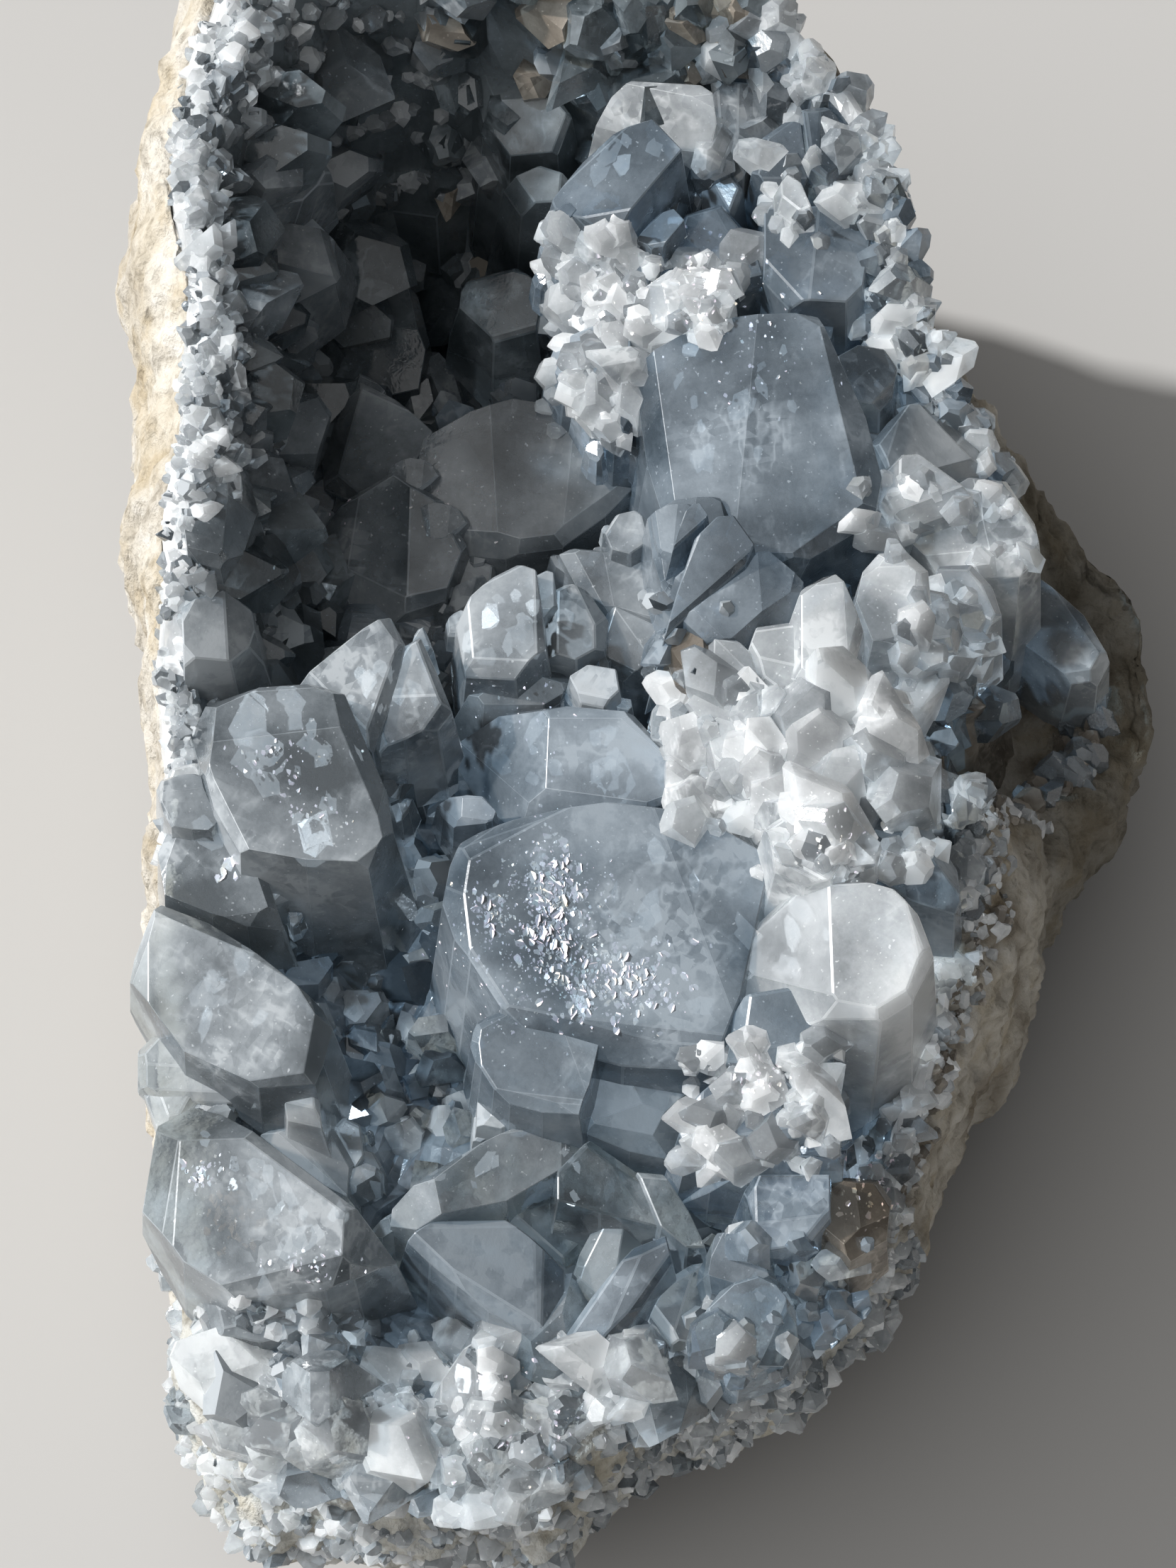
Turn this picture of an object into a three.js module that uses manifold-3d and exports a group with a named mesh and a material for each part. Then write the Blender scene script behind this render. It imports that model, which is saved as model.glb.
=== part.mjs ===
// Half of a celestite geode, lying on its back: a rock shell lined with one crust of blue-grey crystals.
// Millimetres, +Z up, +X to the right, +Y away from the viewer; the origin is under the middle of the base.
import * as THREE from 'three';
import { ConvexGeometry } from 'three/addons/geometries/ConvexGeometry.js';
import { mergeVertices } from 'three/addons/utils/BufferGeometryUtils.js';
import Module from 'manifold-3d';

const wasm = await Module();
wasm.setup();

// Driving dimensions, in millimetres and degrees
const SHEET_MIDDLE = [-4.05, -7.3, 35];   // where the middle of the drawing sheet lies in the part
const SIGHT_RISE = 65;                   // the sheet is seen looking down at this angle
const SIGHT_DISTANCE = 370.4;            // from the eye to the middle of the sheet
const BASE_SHARE = 0.58;                 // the flat underside against the widest outline
const SIDES = 44;                        // columns of faces round the shell and round its lining
const CRUST_GAP = 0.35;                  // between the shell and the crust
const LINING = 4.5;                      // thickness of the fine-grained layer that the crystals grow from
const FLARE = 0;                         // crystals widen downwards by this angle
const ROOT = 11;                         // depth of a crystal below its outline
const MAX_OVERHANG = 2.2;                // how far crystals may stand out past the shell
const FINEST = 0.2;                      // edges shorter than this are closed up
const STRAIGHT = 0.7;                    // corners of a crystal's edge flatter than this are left out

const radians = THREE.MathUtils.degToRad;
const vector = (x, y, z) => new THREE.Vector3(x, y, z);

// Places on the drawing sheet

const sheetMiddle = vector(...SHEET_MIDDLE);
const sheetUp = vector(0, Math.sin(radians(SIGHT_RISE)), Math.cos(radians(SIGHT_RISE)));
const sheetAhead = vector(0, Math.cos(radians(SIGHT_RISE)), -Math.sin(radians(SIGHT_RISE)));
const eye = sheetMiddle.clone().addScaledVector(sheetAhead, -SIGHT_DISTANCE);

// The line of sight through a place on the sheet, given as across and up from its middle
function sight(across, up) {
  return vector(across, 0, 0).addScaledVector(sheetUp, up).add(sheetMiddle).sub(eye);
}

// The point at a given height that shows at a place on the sheet
function spot(across, up, height) {
  const ray = sight(across, up);
  return eye.clone().addScaledVector(ray, (height - eye.z) / ray.z);
}

// Seeded chance, the same on each run
function chance(seed) {
  let state = seed;
  return (low = 0, high = 1) => {
    state = (state + 0x6d2b79f5) | 0;
    let mixed = Math.imul(state ^ (state >>> 15), 1 | state);
    mixed = (mixed + Math.imul(mixed ^ (mixed >>> 7), 61 | mixed)) ^ mixed;
    return low + (high - low) * (((mixed ^ (mixed >>> 14)) >>> 0) / 4294967296);
  };
}

// Solids

function solidOf(geometry) {
  const bare = geometry.clone();
  bare.deleteAttribute('normal');
  bare.deleteAttribute('uv');
  const merged = mergeVertices(bare, 1e-4);
  return new wasm.Manifold(new wasm.Mesh({
    numProp: 3,
    vertProperties: new Float32Array(merged.getAttribute('position').array),
    triVerts: new Uint32Array(merged.getIndex().array),
  }));
}

function geometryOf(solid) {
  const mesh = solid.getMesh();
  const geometry = new THREE.BufferGeometry();
  geometry.setAttribute('position', new THREE.BufferAttribute(new Float32Array(mesh.vertProperties), 3));
  geometry.setIndex(new THREE.BufferAttribute(new Uint32Array(mesh.triVerts), 1));
  return geometry;
}

// A closed skin through a stack of rings, from one middle point to another
function ringStack(rings) {
  const sides = rings[1].length;
  const points = rings.flat();
  const index = [];
  const start = rings.map((ring, row) => rings.slice(0, row).flat().length);
  for (let row = 0; row + 1 < rings.length; row += 1) {
    for (let side = 0; side < sides; side += 1) {
      const next = (side + 1) % sides;
      const [low, high] = [start[row], start[row + 1]];
      if (rings[row].length === 1) {
        index.push(low, high + side, high + next);
      } else if (rings[row + 1].length === 1) {
        index.push(low + side, high, low + next);
      } else {
        index.push(low + side, high + side, high + next, low + side, high + next, low + next);
      }
    }
  }
  const geometry = new THREE.BufferGeometry();
  geometry.setAttribute('position', new THREE.Float32BufferAttribute(points.flatMap((p) => p.toArray()), 3));
  geometry.setIndex(index);
  return geometry;
}

// The corners of a stone cut by planes, each a unit normal and its distance from the origin
function cutStone(planes) {
  const corners = [];
  for (let i = 0; i < planes.length; i += 1) {
    for (let j = i + 1; j < planes.length; j += 1) {
      const line = planes[i].normal.clone().cross(planes[j].normal);
      for (let k = j + 1; k < planes.length; k += 1) {
        const spread = line.dot(planes[k].normal);
        if (Math.abs(spread) < 1e-4) continue;
        const corner = line.clone().multiplyScalar(planes[k].reach)
          .add(planes[j].normal.clone().cross(planes[k].normal).multiplyScalar(planes[i].reach))
          .add(planes[k].normal.clone().cross(planes[i].normal).multiplyScalar(planes[j].reach))
          .divideScalar(spread);
        const inside = planes.every((plane) => plane.normal.dot(corner) < plane.reach + 1e-4);
        if (inside && !corners.some((other) => other.distanceTo(corner) < 0.02)) corners.push(corner);
      }
    }
  }
  return new ConvexGeometry(corners);
}

function planeThrough(point, normal) {
  const unit = normal.clone().normalize();
  return { normal: unit, reach: unit.dot(point) };
}

// The rock shell

// The widest line of the shell as it shows on the sheet, anticlockwise from the right
const OUTLINE = [
  [48.4, 4.5], [47, 12.5], [41.6, 18.6], [36.6, 25], [30.6, 32.8], [28, 40], [26.4, 47], [22, 55.4],
  [14.5, 60.4], [5, 62.8], [-5, 65.6], [-14, 68.6], [-22, 69.6], [-29, 66], [-34.4, 59.6], [-37.6, 51],
  [-39.2, 42], [-38.4, 33], [-38.2, 22], [-38, 12], [-37.2, 2], [-36.8, -8], [-37.4, -18], [-37.2, -29],
  [-36.2, -39], [-35, -48], [-34.4, -56], [-30.6, -62.6], [-22.6, -66], [-12, -67], [-3, -66.2],
  [4.2, -60.2], [10, -57.4], [18, -53.8], [25, -46.4], [29.2, -38], [33.4, -28], [38, -20.4],
  [40, -11.5], [42.8, -6.8], [46.8, -2.6],
];
const OUTLINE_LOW = 21;                  // height of the widest line at the near side
const OUTLINE_RISE = 20;                 // how much higher it lies at the far side

// The rim of the rock by direction: degrees anticlockwise from the right, height, distance inside the outline
const RIM = [
  [0, 27, 4], [18, 29, 4], [33, 40, 3.5], [50, 48, 3], [65, 51, 3], [80, 54, 3], [97, 58, 3.5],
  [112, 61.5, 5], [127, 62, 7], [143, 61.5, 7.8], [158, 59, 6], [172, 53, 3.4], [186, 45, 2.5],
  [200, 39, 3], [214, 37, 4.5], [230, 36, 5.5], [246, 35, 6], [262, 35, 5], [278, 35, 3.5],
  [292, 37, 3], [306, 40, 4.5], [320, 43, 7], [334, 44, 8.5], [347, 31, 5],
];

const outlineCurve = new THREE.CatmullRomCurve3(
  OUTLINE.map(([across, up]) => {
    const share = THREE.MathUtils.smoothstep(up, -20, 66);
    return spot(across, up, OUTLINE_LOW + OUTLINE_RISE * share);
  }), true, 'centripetal');

// Where the widest line crosses each of the shell's directions
const outlineRing = (() => {
  const samples = outlineCurve.getPoints(720);
  return Array.from({ length: SIDES }, (unused, side) => {
    const angle = (side / SIDES) * 2 * Math.PI;
    const away = (point) => Math.abs(Math.atan2(
      Math.sin(Math.atan2(point.y, point.x) - angle), Math.cos(Math.atan2(point.y, point.x) - angle)));
    return samples.reduce((best, point) => (away(point) < away(best) ? point : best));
  });
})();

// A smooth value between the two entries of a list by direction
function byDirection(table, column, degrees) {
  const turned = ((degrees % 360) + 360) % 360;
  const after = table.findIndex((entry) => entry[0] > turned);
  const high = table[after < 0 ? 0 : after];
  const low = table[after < 0 ? table.length - 1 : (after + table.length - 1) % table.length];
  const gap = ((high[0] - low[0]) + 360) % 360;
  const share = THREE.MathUtils.smoothstep((turned - low[0] + 360) % 360, 0, gap);
  return low[column] + (high[column] - low[column]) * share;
}

// Low lumps of weathered rock, from a few waves that cross each other
function lump(point, size) {
  const wave = (x, y, z, turn) => Math.sin((point.x * x + point.y * y + point.z * z) / size + turn);
  return wave(1, 0.4, 0.7, 0.3) * wave(0.3, 1.1, -0.5, 1.9)
    + 0.5 * wave(-1.3, 1.7, 1.2, 4.1) * wave(2, 0.6, 1.1, 2.2);
}

// The hollow's floor in the rock: high under the crystals, deep at the upper left
const HOLLOW = spot(-13, 41, 14);
const HOLLOW_REACH = [17, 21];
const FLOOR_HEIGHT = 24;
const HOLLOW_DEPTH = 17;
function floorHeight(x, y) {
  const away = Math.hypot((x - HOLLOW.x) / HOLLOW_REACH[0], (y - HOLLOW.y) / HOLLOW_REACH[1]);
  return FLOOR_HEIGHT - HOLLOW_DEPTH * (1 - THREE.MathUtils.smoothstep(away, 0.25, 1.25));
}

// One column of the shell, from the middle of the floor over the rim to the middle of the base
function shellColumn(side) {
  const wide = outlineRing[side];
  const degrees = (side / SIDES) * 360;
  const out = vector(wide.x, wide.y, 0).normalize();
  const rimHeight = byDirection(RIM, 1, degrees);
  const rimReach = Math.hypot(wide.x, wide.y) - byDirection(RIM, 2, degrees);
  const wideReach = Math.hypot(wide.x, wide.y);
  const at = (reach, height) => out.clone().multiplyScalar(reach).setZ(height);
  const inner = (share, climb) => {
    const point = at(rimReach * share, 0);
    const floor = floorHeight(point.x, point.y);
    return point.setZ(floor + (rimHeight - floor) * climb);
  };
  const outer = (share, climb) => at(
    rimReach + (wideReach - rimReach) * share, rimHeight + (wide.z - rimHeight) * climb);
  const under = (share, height) => at(wideReach * share, height);
  return [
    inner(0.35, 0), inner(0.5, 0), inner(0.62, 0), inner(0.78, 0),
    inner(0.89, 0.4), inner(0.935, 0.86), inner(0.97, 0.99),
    outer(0.12, 0.015), outer(0.5, 0.18), outer(0.84, 0.55), outer(1, 1),
    under(0.965, wide.z * 0.55), under(0.85, wide.z * 0.22),
    under(BASE_SHARE + 0.1, 1.6), under(BASE_SHARE, 0),
  ];
}

const SHELL_INSIDE_ROWS = 7;
const columns = outlineRing.map((unused, side) => shellColumn(side));
const shellRings = [
  [vector(0, 0, floorHeight(0, 0))],
  ...columns[0].map((unused, row) => columns.map((column) => {
    const point = column[row].clone();
    const outside = row > SHELL_INSIDE_ROWS && row < columns[0].length - 1;
    const out = vector(point.x, point.y, 0).normalize();
    return outside ? point.addScaledVector(out, 0.9 * lump(point, 6) + 0.5 * lump(point, 2.6) - 0.4) : point;
  })),
  [vector(0, 0, 0)],
];
const shellGeometry = ringStack(shellRings);

// The same shell, fatter by the gap, to cut the underside of the crust
function grown(geometry, amount) {
  const bare = mergeVertices(geometry, 1e-4);
  bare.computeVertexNormals();
  const position = bare.getAttribute('position');
  const normal = bare.getAttribute('normal');
  for (let i = 0; i < position.count; i += 1) {
    position.setXYZ(i, position.getX(i) + normal.getX(i) * amount, position.getY(i) + normal.getY(i) * amount,
      position.getZ(i) + normal.getZ(i) * amount);
  }
  return bare;
}

// The crust: its fine-grained lining

// Mounds of the lining under the groups of crystals: place on the sheet, height, reach
const MOUNDS = [
  [18, 30, 40, 17], [24, 6, 43, 17], [20, -14, 42, 15], [12, 50, 42, 16], [2, -8, 36, 18],
  [-3, -38, 32, 15], [-25, 2, 37, 12], [-30, -18, 34, 11], [-28, -35, 34, 12], [-6, 26, 30, 14],
  [15, -40, 35, 13], [-16, 12, 34, 11], [-4, 8, 34, 12], [-8, -56, 30, 14], [-28, -50, 30, 12],
];

function bedHeight(x, y) {
  const floor = floorHeight(x, y) + LINING;
  return Math.max(floor, ...MOUNDS.map(([across, up, height, reach]) => {
    const middle = spot(across, up, height);
    const fall = THREE.MathUtils.smoothstep(Math.hypot(x - middle.x, y - middle.y) / reach, 0.35, 1.1);
    return floor + (height - floor) * (1 - fall);
  }));
}

// How much of the way to the rim is lined, by direction: the lobe at the right is bare rock
const LINED = [[2, 0.92], [18, 0.93], [30, 1], [335, 1], [348, 0.92]];

function liningRing(share, climb, drop) {
  return outlineRing.map((wide, side) => {
    const degrees = (side / SIDES) * 360;
    const rimReach = Math.hypot(wide.x, wide.y) - byDirection(RIM, 2, degrees);
    const lined = byDirection(LINED, 1, degrees);
    const point = vector(wide.x, wide.y, 0).normalize().multiplyScalar(rimReach * share * lined);
    const floor = floorHeight(point.x, point.y);
    if (share > 0.8 && lined < 0.97) return point.setZ(floor + Math.min(drop, share < 0.85 ? 2 : -2));
    return point.setZ(floor + (byDirection(RIM, 1, degrees) - floor) * climb + drop + lump(point, 3));
  });
}

function bedRing(share) {
  const flat = liningRing(share, 0, 0);
  return flat.map((point) => point.setZ(bedHeight(point.x, point.y) + 0.6 * lump(point, 3)));
}

const liningGeometry = ringStack([
  [vector(0, 0, bedHeight(0, 0))],
  bedRing(0.2), bedRing(0.35), bedRing(0.5), bedRing(0.62), bedRing(0.78),
  liningRing(0.84, 0.45, LINING * 0.5), liningRing(0.9, 0.88, 0), liningRing(0.955, 0.985, 0.8),
  liningRing(1, 0.97, 0), liningRing(1.02, 0.6, 0), liningRing(0.8, 0, 0).map((point) => point.setZ(2)),
  [vector(0, 0, 2)],
]);

// The crust: large crystals

// A crystal drawn on the sheet. Its top face passes the middle of the edge at the height given and leans
// towards a direction, degrees anticlockwise from the right. Each cut is a line on that face: beyond it, on
// the side away from the stone's middle, the stone falls away by the degrees given.
function drawnCrystal({ height, lean, tilt, edge, cuts = [], flare = FLARE, root = ROOT }) {
  const middle = edge.reduce((sum, [a, b]) => sum.add(spot(a, b, height)), vector(0, 0, 0))
    .divideScalar(edge.length);
  const slope = Math.sin(radians(tilt));
  const turn = radians(lean);
  const top = vector(Math.cos(turn) * slope, Math.sin(turn) * slope, Math.cos(radians(tilt)));
  const planes = [planeThrough(middle, top)];
  const meet = (a, b, plane) => {
    const ray = sight(a, b);
    return eye.clone().addScaledVector(ray, (plane.reach - plane.normal.dot(eye)) / plane.normal.dot(ray));
  };
  for (const [fromA, fromB, toA, toB, dip] of cuts) {
    const start = meet(fromA, fromB, planes[0]);
    const along = meet(toA, toB, planes[0]).sub(start);
    const aside = along.cross(top).normalize();
    if (middle.clone().sub(start).dot(aside) > 0) aside.negate();
    planes.push(planeThrough(start, top.clone().multiplyScalar(Math.cos(radians(dip)))
      .addScaledVector(aside, Math.sin(radians(dip)))));
  }
  const corners = edge.filter(([a, b], i) => {
    const [beforeA, beforeB] = edge[(i + edge.length - 1) % edge.length];
    const [afterA, afterB] = edge[(i + 1) % edge.length];
    const [chordA, chordB] = [afterA - beforeA, afterB - beforeB];
    return Math.abs(chordA * (b - beforeB) - chordB * (a - beforeA)) > STRAIGHT * Math.hypot(chordA, chordB);
  });
  const rim = corners.map(([a, b]) => {
    const ray = sight(a, b);
    const facing = planes.filter((plane) => plane.normal.dot(ray) < 0);
    const shares = facing.map((plane) => (plane.reach - plane.normal.dot(eye)) / plane.normal.dot(ray));
    return eye.clone().addScaledVector(ray, Math.max(...shares));
  });
  const winding = rim.reduce((sum, point, i) => {
    const next = rim[(i + 1) % rim.length];
    return sum + point.x * next.y - next.x * point.y;
  }, 0);
  if (winding < 0) rim.reverse();
  rim.forEach((point, i) => {
    const along = rim[(i + 1) % rim.length].clone().sub(point);
    const out = vector(along.y, -along.x, 0).normalize();
    const down = out.multiplyScalar(Math.sin(radians(flare))).setZ(-Math.cos(radians(flare)));
    planes.push(planeThrough(point, down.cross(along)));
  });
  const lowest = Math.min(...rim.map((point) => point.z)) - root;
  planes.push({ normal: vector(0, 0, -1), reach: -lowest });
  return cutStone(planes);
}

const LARGE_CRYSTALS = {
  // Far right: the cluster at the rim
  rhomb: { height: 55, lean: 180, tilt: 22, edge: [[-3.4, 49.2], [-0.4, 53.2], [2.2, 55.6], [5.5, 56.6],
    [8, 54], [3.1, 48.2], [0.3, 47.7]] },
  cap: { height: 56, lean: 250, tilt: 22, cuts: [[4.6, 58.6, 9, 56.4, 35], [5, 58, 1, 57.5, 25]], edge:
    [[0.9, 57], [2, 59], [5, 60.4], [8.4, 60.2], [10.6, 58.8], [10.9, 56.6], [10.3, 54.8], [8, 55]] },
  browncap: { height: 52, lean: 330, tilt: 25, cuts: [[12.8, 59.8, 12.6, 52, 18]], edge: [[10.6, 58.8],
    [12.2, 60.2], [14.8, 60], [16, 56.6], [13, 51.3], [11, 53.6]] },
  rimcap: { height: 54.5, lean: 150, tilt: 18, edge: [[10, 61.2], [12.4, 61.6], [15, 60.8], [18, 58.4],
    [17.2, 56.2], [14.8, 59.4], [11.2, 59]] },
  bluecap: { height: 54, lean: 10, tilt: 26, cuts: [[19.8, 58.4, 19.4, 51, 22]], edge: [[18.2, 57.6],
    [20.2, 57.8], [21.2, 56.8], [22.8, 52.6], [20.8, 51.2], [18.9, 52.6]] },
  greycap: { height: 53, lean: 210, tilt: 12, edge: [[14, 52.4], [14.8, 55.2], [16.8, 56.6], [18.9, 56],
    [19.4, 52.4], [18.2, 50.8], [15.4, 50.8]] },
  whitecap: { height: 54, lean: 185, tilt: 30, edge: [[15.9, 50.6], [17, 51.9], [18.1, 51.2], [19.1, 48.9],
    [17.4, 48.1], [16, 49.2]] },
  rimknob: { height: 52, lean: 185, tilt: 25, edge: [[20.1, 50.4], [20.8, 51.9], [22.2, 52], [23.4, 50.2],
    [23, 49.2], [20.6, 49.4]] },
  greyslab: { height: 51.5, lean: 340, tilt: 14, cuts: [[19.6, 48.5, 18.8, 41, 16]], edge: [[15, 49.4],
    [19.2, 49.9], [23.4, 49.4], [24.2, 47.4], [23.4, 42.4], [22, 41], [17.2, 41], [15, 43.4]] },
  leftblade: { height: 50.5, lean: 355, tilt: 30, edge: [[5.9, 52], [9.4, 54.8], [9.9, 54.4], [8.6, 50.2],
    [7.9, 48], [6.6, 48.8]] },
  rightblade: { height: 50, lean: 200, tilt: 28, edge: [[9.8, 54.4], [10.9, 54], [13.2, 50.8], [12.4, 48.8],
    [11, 48.2], [9.6, 50.6]] },
  fan: { height: 50.5, lean: 215, tilt: 15, cuts: [[10.4, 49.5, 13.6, 43.6, 14]], edge: [[7.4, 46.8],
    [8.4, 48.8], [11.2, 49.6], [13.6, 47.6], [15, 43], [12.6, 42], [8.6, 43.2]] },
  tuft: { height: 49.5, lean: 200, tilt: 30, edge: [[-4, 46.6], [-3, 47.2], [-1.2, 46.6], [-0.8, 44.6],
    [-2.2, 43.8], [-3.4, 44.6]] },
  shelf: { height: 50.5, lean: 215, tilt: 14, cuts: [[2.8, 47.8, 1.8, 40, 12]], edge: [[-1.6, 43.2],
    [-0.8, 45.6], [2, 48], [5, 48.4], [6.8, 46], [5.4, 41.4], [2.5, 40.2], [-0.6, 41.2]] },
  belt: { height: 52.8, lean: 200, tilt: 20, cuts: [[3.4, 42.4, 12.4, 42.6, 16]], edge: [[3.4, 38.6],
    [4, 41.6], [7, 43.8], [11.2, 43.2], [12.6, 41], [11.6, 39.6], [8, 38.8], [5.4, 38.2]] },
  upperbulge: { height: 48, lean: 195, tilt: 26, cuts: [[-1.6, 39, -2.4, 34, 20]], edge: [[-3.5, 35.6],
    [-2.9, 37], [-1.4, 38.8], [1, 39.8], [3.6, 38.6], [3.8, 35.4], [1, 34], [-2, 34.2]] },
  lowerbulge: { height: 47, lean: 200, tilt: 30, cuts: [[2.4, 35.6, 2.2, 29.8, 22]], edge: [[-1.1, 32.9],
    [-0.6, 34.4], [1, 35.4], [3.4, 35.4], [4.2, 31.6], [3.4, 30.2], [2.3, 30], [0.3, 31]] },
  // Right: the large blue plate and its neighbours
  plate: { height: 52, lean: 245, tilt: 9, root: 20, cuts: [[19.3, 40.6, 21.1, 33.2, 34],
    [22.9, 32, 24.3, 24.6, 30], [12.4, 20, 14.6, 41.6, 13]], edge: [[4, 36.6], [5.4, 38.8], [10, 39.4],
    [14.4, 41.9], [17.4, 41.4], [19.6, 40], [23.6, 31.2], [25, 26], [24.4, 22.8], [17.2, 18.6], [10.5, 18],
    [7, 21.4], [5.2, 28]] },
  blueside: { height: 49, lean: 330, tilt: 14, edge: [[21.2, 36.4], [23, 37.4], [25.2, 37], [26.3, 35.4],
    [25.9, 33.4], [24.8, 32.2], [22, 32.8]] },
  darkside: { height: 47.5, lean: 20, tilt: 24, cuts: [[27, 32.8, 25.2, 27, 20],
    [29.5, 32.4, 33.6, 28, 22]], edge: [[24.2, 29.4], [25.6, 31.2], [27.2, 32.3], [30.2, 32.2],
    [33.2, 29.2], [34, 27.2], [31, 26.4], [25.4, 27]] },
  palewedge: { height: 50, lean: 205, tilt: 16, cuts: [[26.6, 28.8, 26.4, 22.2, 18]], edge: [[24.6, 23.4],
    [25.2, 27], [26.4, 28.2], [27.9, 28.3], [33, 24.6], [27.2, 22.4]] },
  palerim: { height: 47.5, lean: 215, tilt: 13, root: 20, cuts: [[33, 25, 34.6, 18, 9]], edge: [[28, 23],
    [31, 25.6], [34, 26.6], [35.6, 26], [38, 22.4], [38.5, 19.8], [36.8, 18.2], [30, 18.2], [27.6, 20.4]] },
  lobecrystal: { height: 34.5, lean: 205, tilt: 24, root: 9, cuts: [[38.6, 18, 44.4, 10.8, 30]], edge:
    [[34.9, 16], [36.6, 17.6], [38.6, 17.4], [42.2, 14.6], [44.4, 11], [43.4, 9.2], [41.2, 8.9],
    [37.2, 11.8]] },
  // Right: rounded white knobs over the brown hollow
  tallknob: { height: 56, lean: 230, tilt: 12, cuts: [[17.2, 16.6, 22, 17.2, 26], [21.6, 18, 22.2, 9, 24]],
    edge: [[17.2, 14], [18.3, 17], [20.2, 18.6], [21.8, 17.2], [23.4, 13.4], [22.4, 9.4], [20, 7.4],
    [17.2, 9.6]] },
  wideknob: { height: 54, lean: 225, tilt: 10, cuts: [[23, 18.4, 29, 18.6, 24], [28, 19.6, 27.2, 12, 22]],
    edge: [[22.8, 15.6], [23.4, 18.2], [24.8, 19.8], [27, 20.1], [28.9, 18.4], [29.2, 15.6], [27, 12.4],
    [24.2, 12.2]] },
  lowknob: { height: 52, lean: 300, tilt: 12, cuts: [[30, 17, 32, 12.4, 26]], edge: [[27, 13.4],
    [27.2, 15.6], [28.6, 16.8], [30.6, 16.4], [31.9, 13.6], [31.4, 11.8], [28.6, 11.4]] },
  outerknob: { height: 50, lean: 210, tilt: 15, cuts: [[31.6, 19.2, 34.4, 15.4, 25]], edge: [[29.2, 16.8],
    [29.9, 18.8], [32.6, 18.9], [34.4, 17], [35.2, 14.6], [33.8, 13.2], [31.2, 14.6]] },
  milkface: { height: 53.5, lean: 250, tilt: 8, root: 20, cuts: [[12, 8.6, 20.5, -3, 10],
    [20, 8, 27, 6, 12]], edge: [[9.8, 5.6], [13.6, 8.4], [19.2, 9], [26, 8], [28.4, 3], [27.8, -0.6],
    [24, -2.4], [15, -2.8], [11.2, 0.4]] },
  goldface: { height: 54, lean: 205, tilt: 14, cuts: [[10.2, 13, 14.6, 8.6, 8]], edge: [[9.9, 8.6],
    [10.1, 12.8], [12.6, 12.4], [13.8, 11.2], [14.6, 8.6], [12.8, 8]] },
  brownface: { height: 52.5, lean: 190, tilt: 34, edge: [[6.5, 12.8], [8.2, 14.2], [10, 15.9], [10.4, 11.6],
    [9.9, 6.4], [8.9, 6.4], [7.8, 8.8], [6.7, 10.4]] },
  stepface: { height: 54.5, lean: 235, tilt: 10, cuts: [[13.6, 11, 19, 9.8, 16]], edge: [[13.6, 11.4],
    [14.4, 13.6], [17.2, 14], [19, 11.4], [19.6, 8], [17, 6.4], [14.6, 8.2]] },
  clearblock: { height: 48.5, lean: 235, tilt: 10, cuts: [[5.8, 5.2, 8.6, 6.9, 25], [6, 4.6, 10.6, 1, 24]],
    edge: [[5.4, 4.2], [5.5, 6.6], [6.4, 7.5], [8.2, 8], [9.8, 6], [12.4, 4.4], [12.4, 1.8], [9.6, 1.1],
    [6.8, 3]] },
  smallcube: { height: 47, lean: 215, tilt: 16, edge: [[7.5, -0.2], [9.3, 1.6], [11.6, 1.3], [11.8, -1.4],
    [9.5, -2.9], [8.2, -2.5]] },
  sparkler: { height: 56.5, lean: 200, tilt: 15, cuts: [[15.6, -5.6, 21, -8.6, 24],
    [20.8, -1, 22.4, -5, 20]], edge: [[15.1, -3.4], [17.2, -2], [20.6, -1.4], [22.6, -2], [23, -4.2],
    [20.6, -8.2], [18.4, -8.5], [15.9, -7.2]] },
  rightface: { height: 51.5, lean: 320, tilt: 13, cuts: [[24.4, -2, 31, -8, 22]], edge: [[22.4, -2.6],
    [26, -0.8], [28.6, -2.2], [31.4, -6.6], [31.7, -10], [30.6, -12.6], [26, -9.4], [22.4, -8.2]] },
  hollowwall: { height: 44, lean: 335, tilt: 34, root: 22, cuts: [[26, 12, 31.6, 9, 20]], edge:
    [[25.6, 11.6], [29.8, 12.2], [31.8, 10.4], [31.8, 7], [30.2, 4.2], [29, 0], [27.4, 3.4], [26, 8]] },
  // Right: the two tall leaning crystals
  tallblade: { height: 56, lean: 205, tilt: 20, cuts: [[7.4, 16, 9.6, 21.6, 28]], edge: [[6.6, 13],
    [7.6, 16.4], [9.1, 20.9], [11, 22.8], [12.4, 22.9], [14.2, 20.4], [13.4, 19], [10, 16]] },
  tallwedge: { height: 55, lean: 255, tilt: 12, root: 20, cuts: [[16.9, 18.4, 16.3, 13.6, 28],
    [14.4, 20, 14.9, 13.4, 9]], edge: [[8, 14.4], [10, 16.2], [14, 19.7], [15.4, 19.8], [18.3, 17.3],
    [17.6, 14.8], [14, 12.4], [10.2, 12.4]] },
  // Middle, at the back: clear crystals between the hollow and the plate
  clearleft: { height: 46.5, lean: 195, tilt: 14, cuts: [[-4.6, 18.8, -4.4, 11, 38],
    [-9.8, 16.8, -11.2, 11, 24]], edge: [[-6, 18.8], [-8, 17.8], [-10, 16], [-11.2, 13.7], [-10.4, 9.6],
    [-6.2, 9.4], [-3.6, 11.4], [-4, 15.4], [-4.4, 18.2]] },
  clearright: { height: 44, lean: 330, tilt: 12, cuts: [[0.2, 17, 1.2, 11.4, 26]], edge: [[-3.7, 11.4],
    [-3.6, 16.4], [-2, 17.2], [-0.2, 16.8], [1.7, 14.2], [1.4, 11.8], [-1, 10.6]] },
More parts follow.
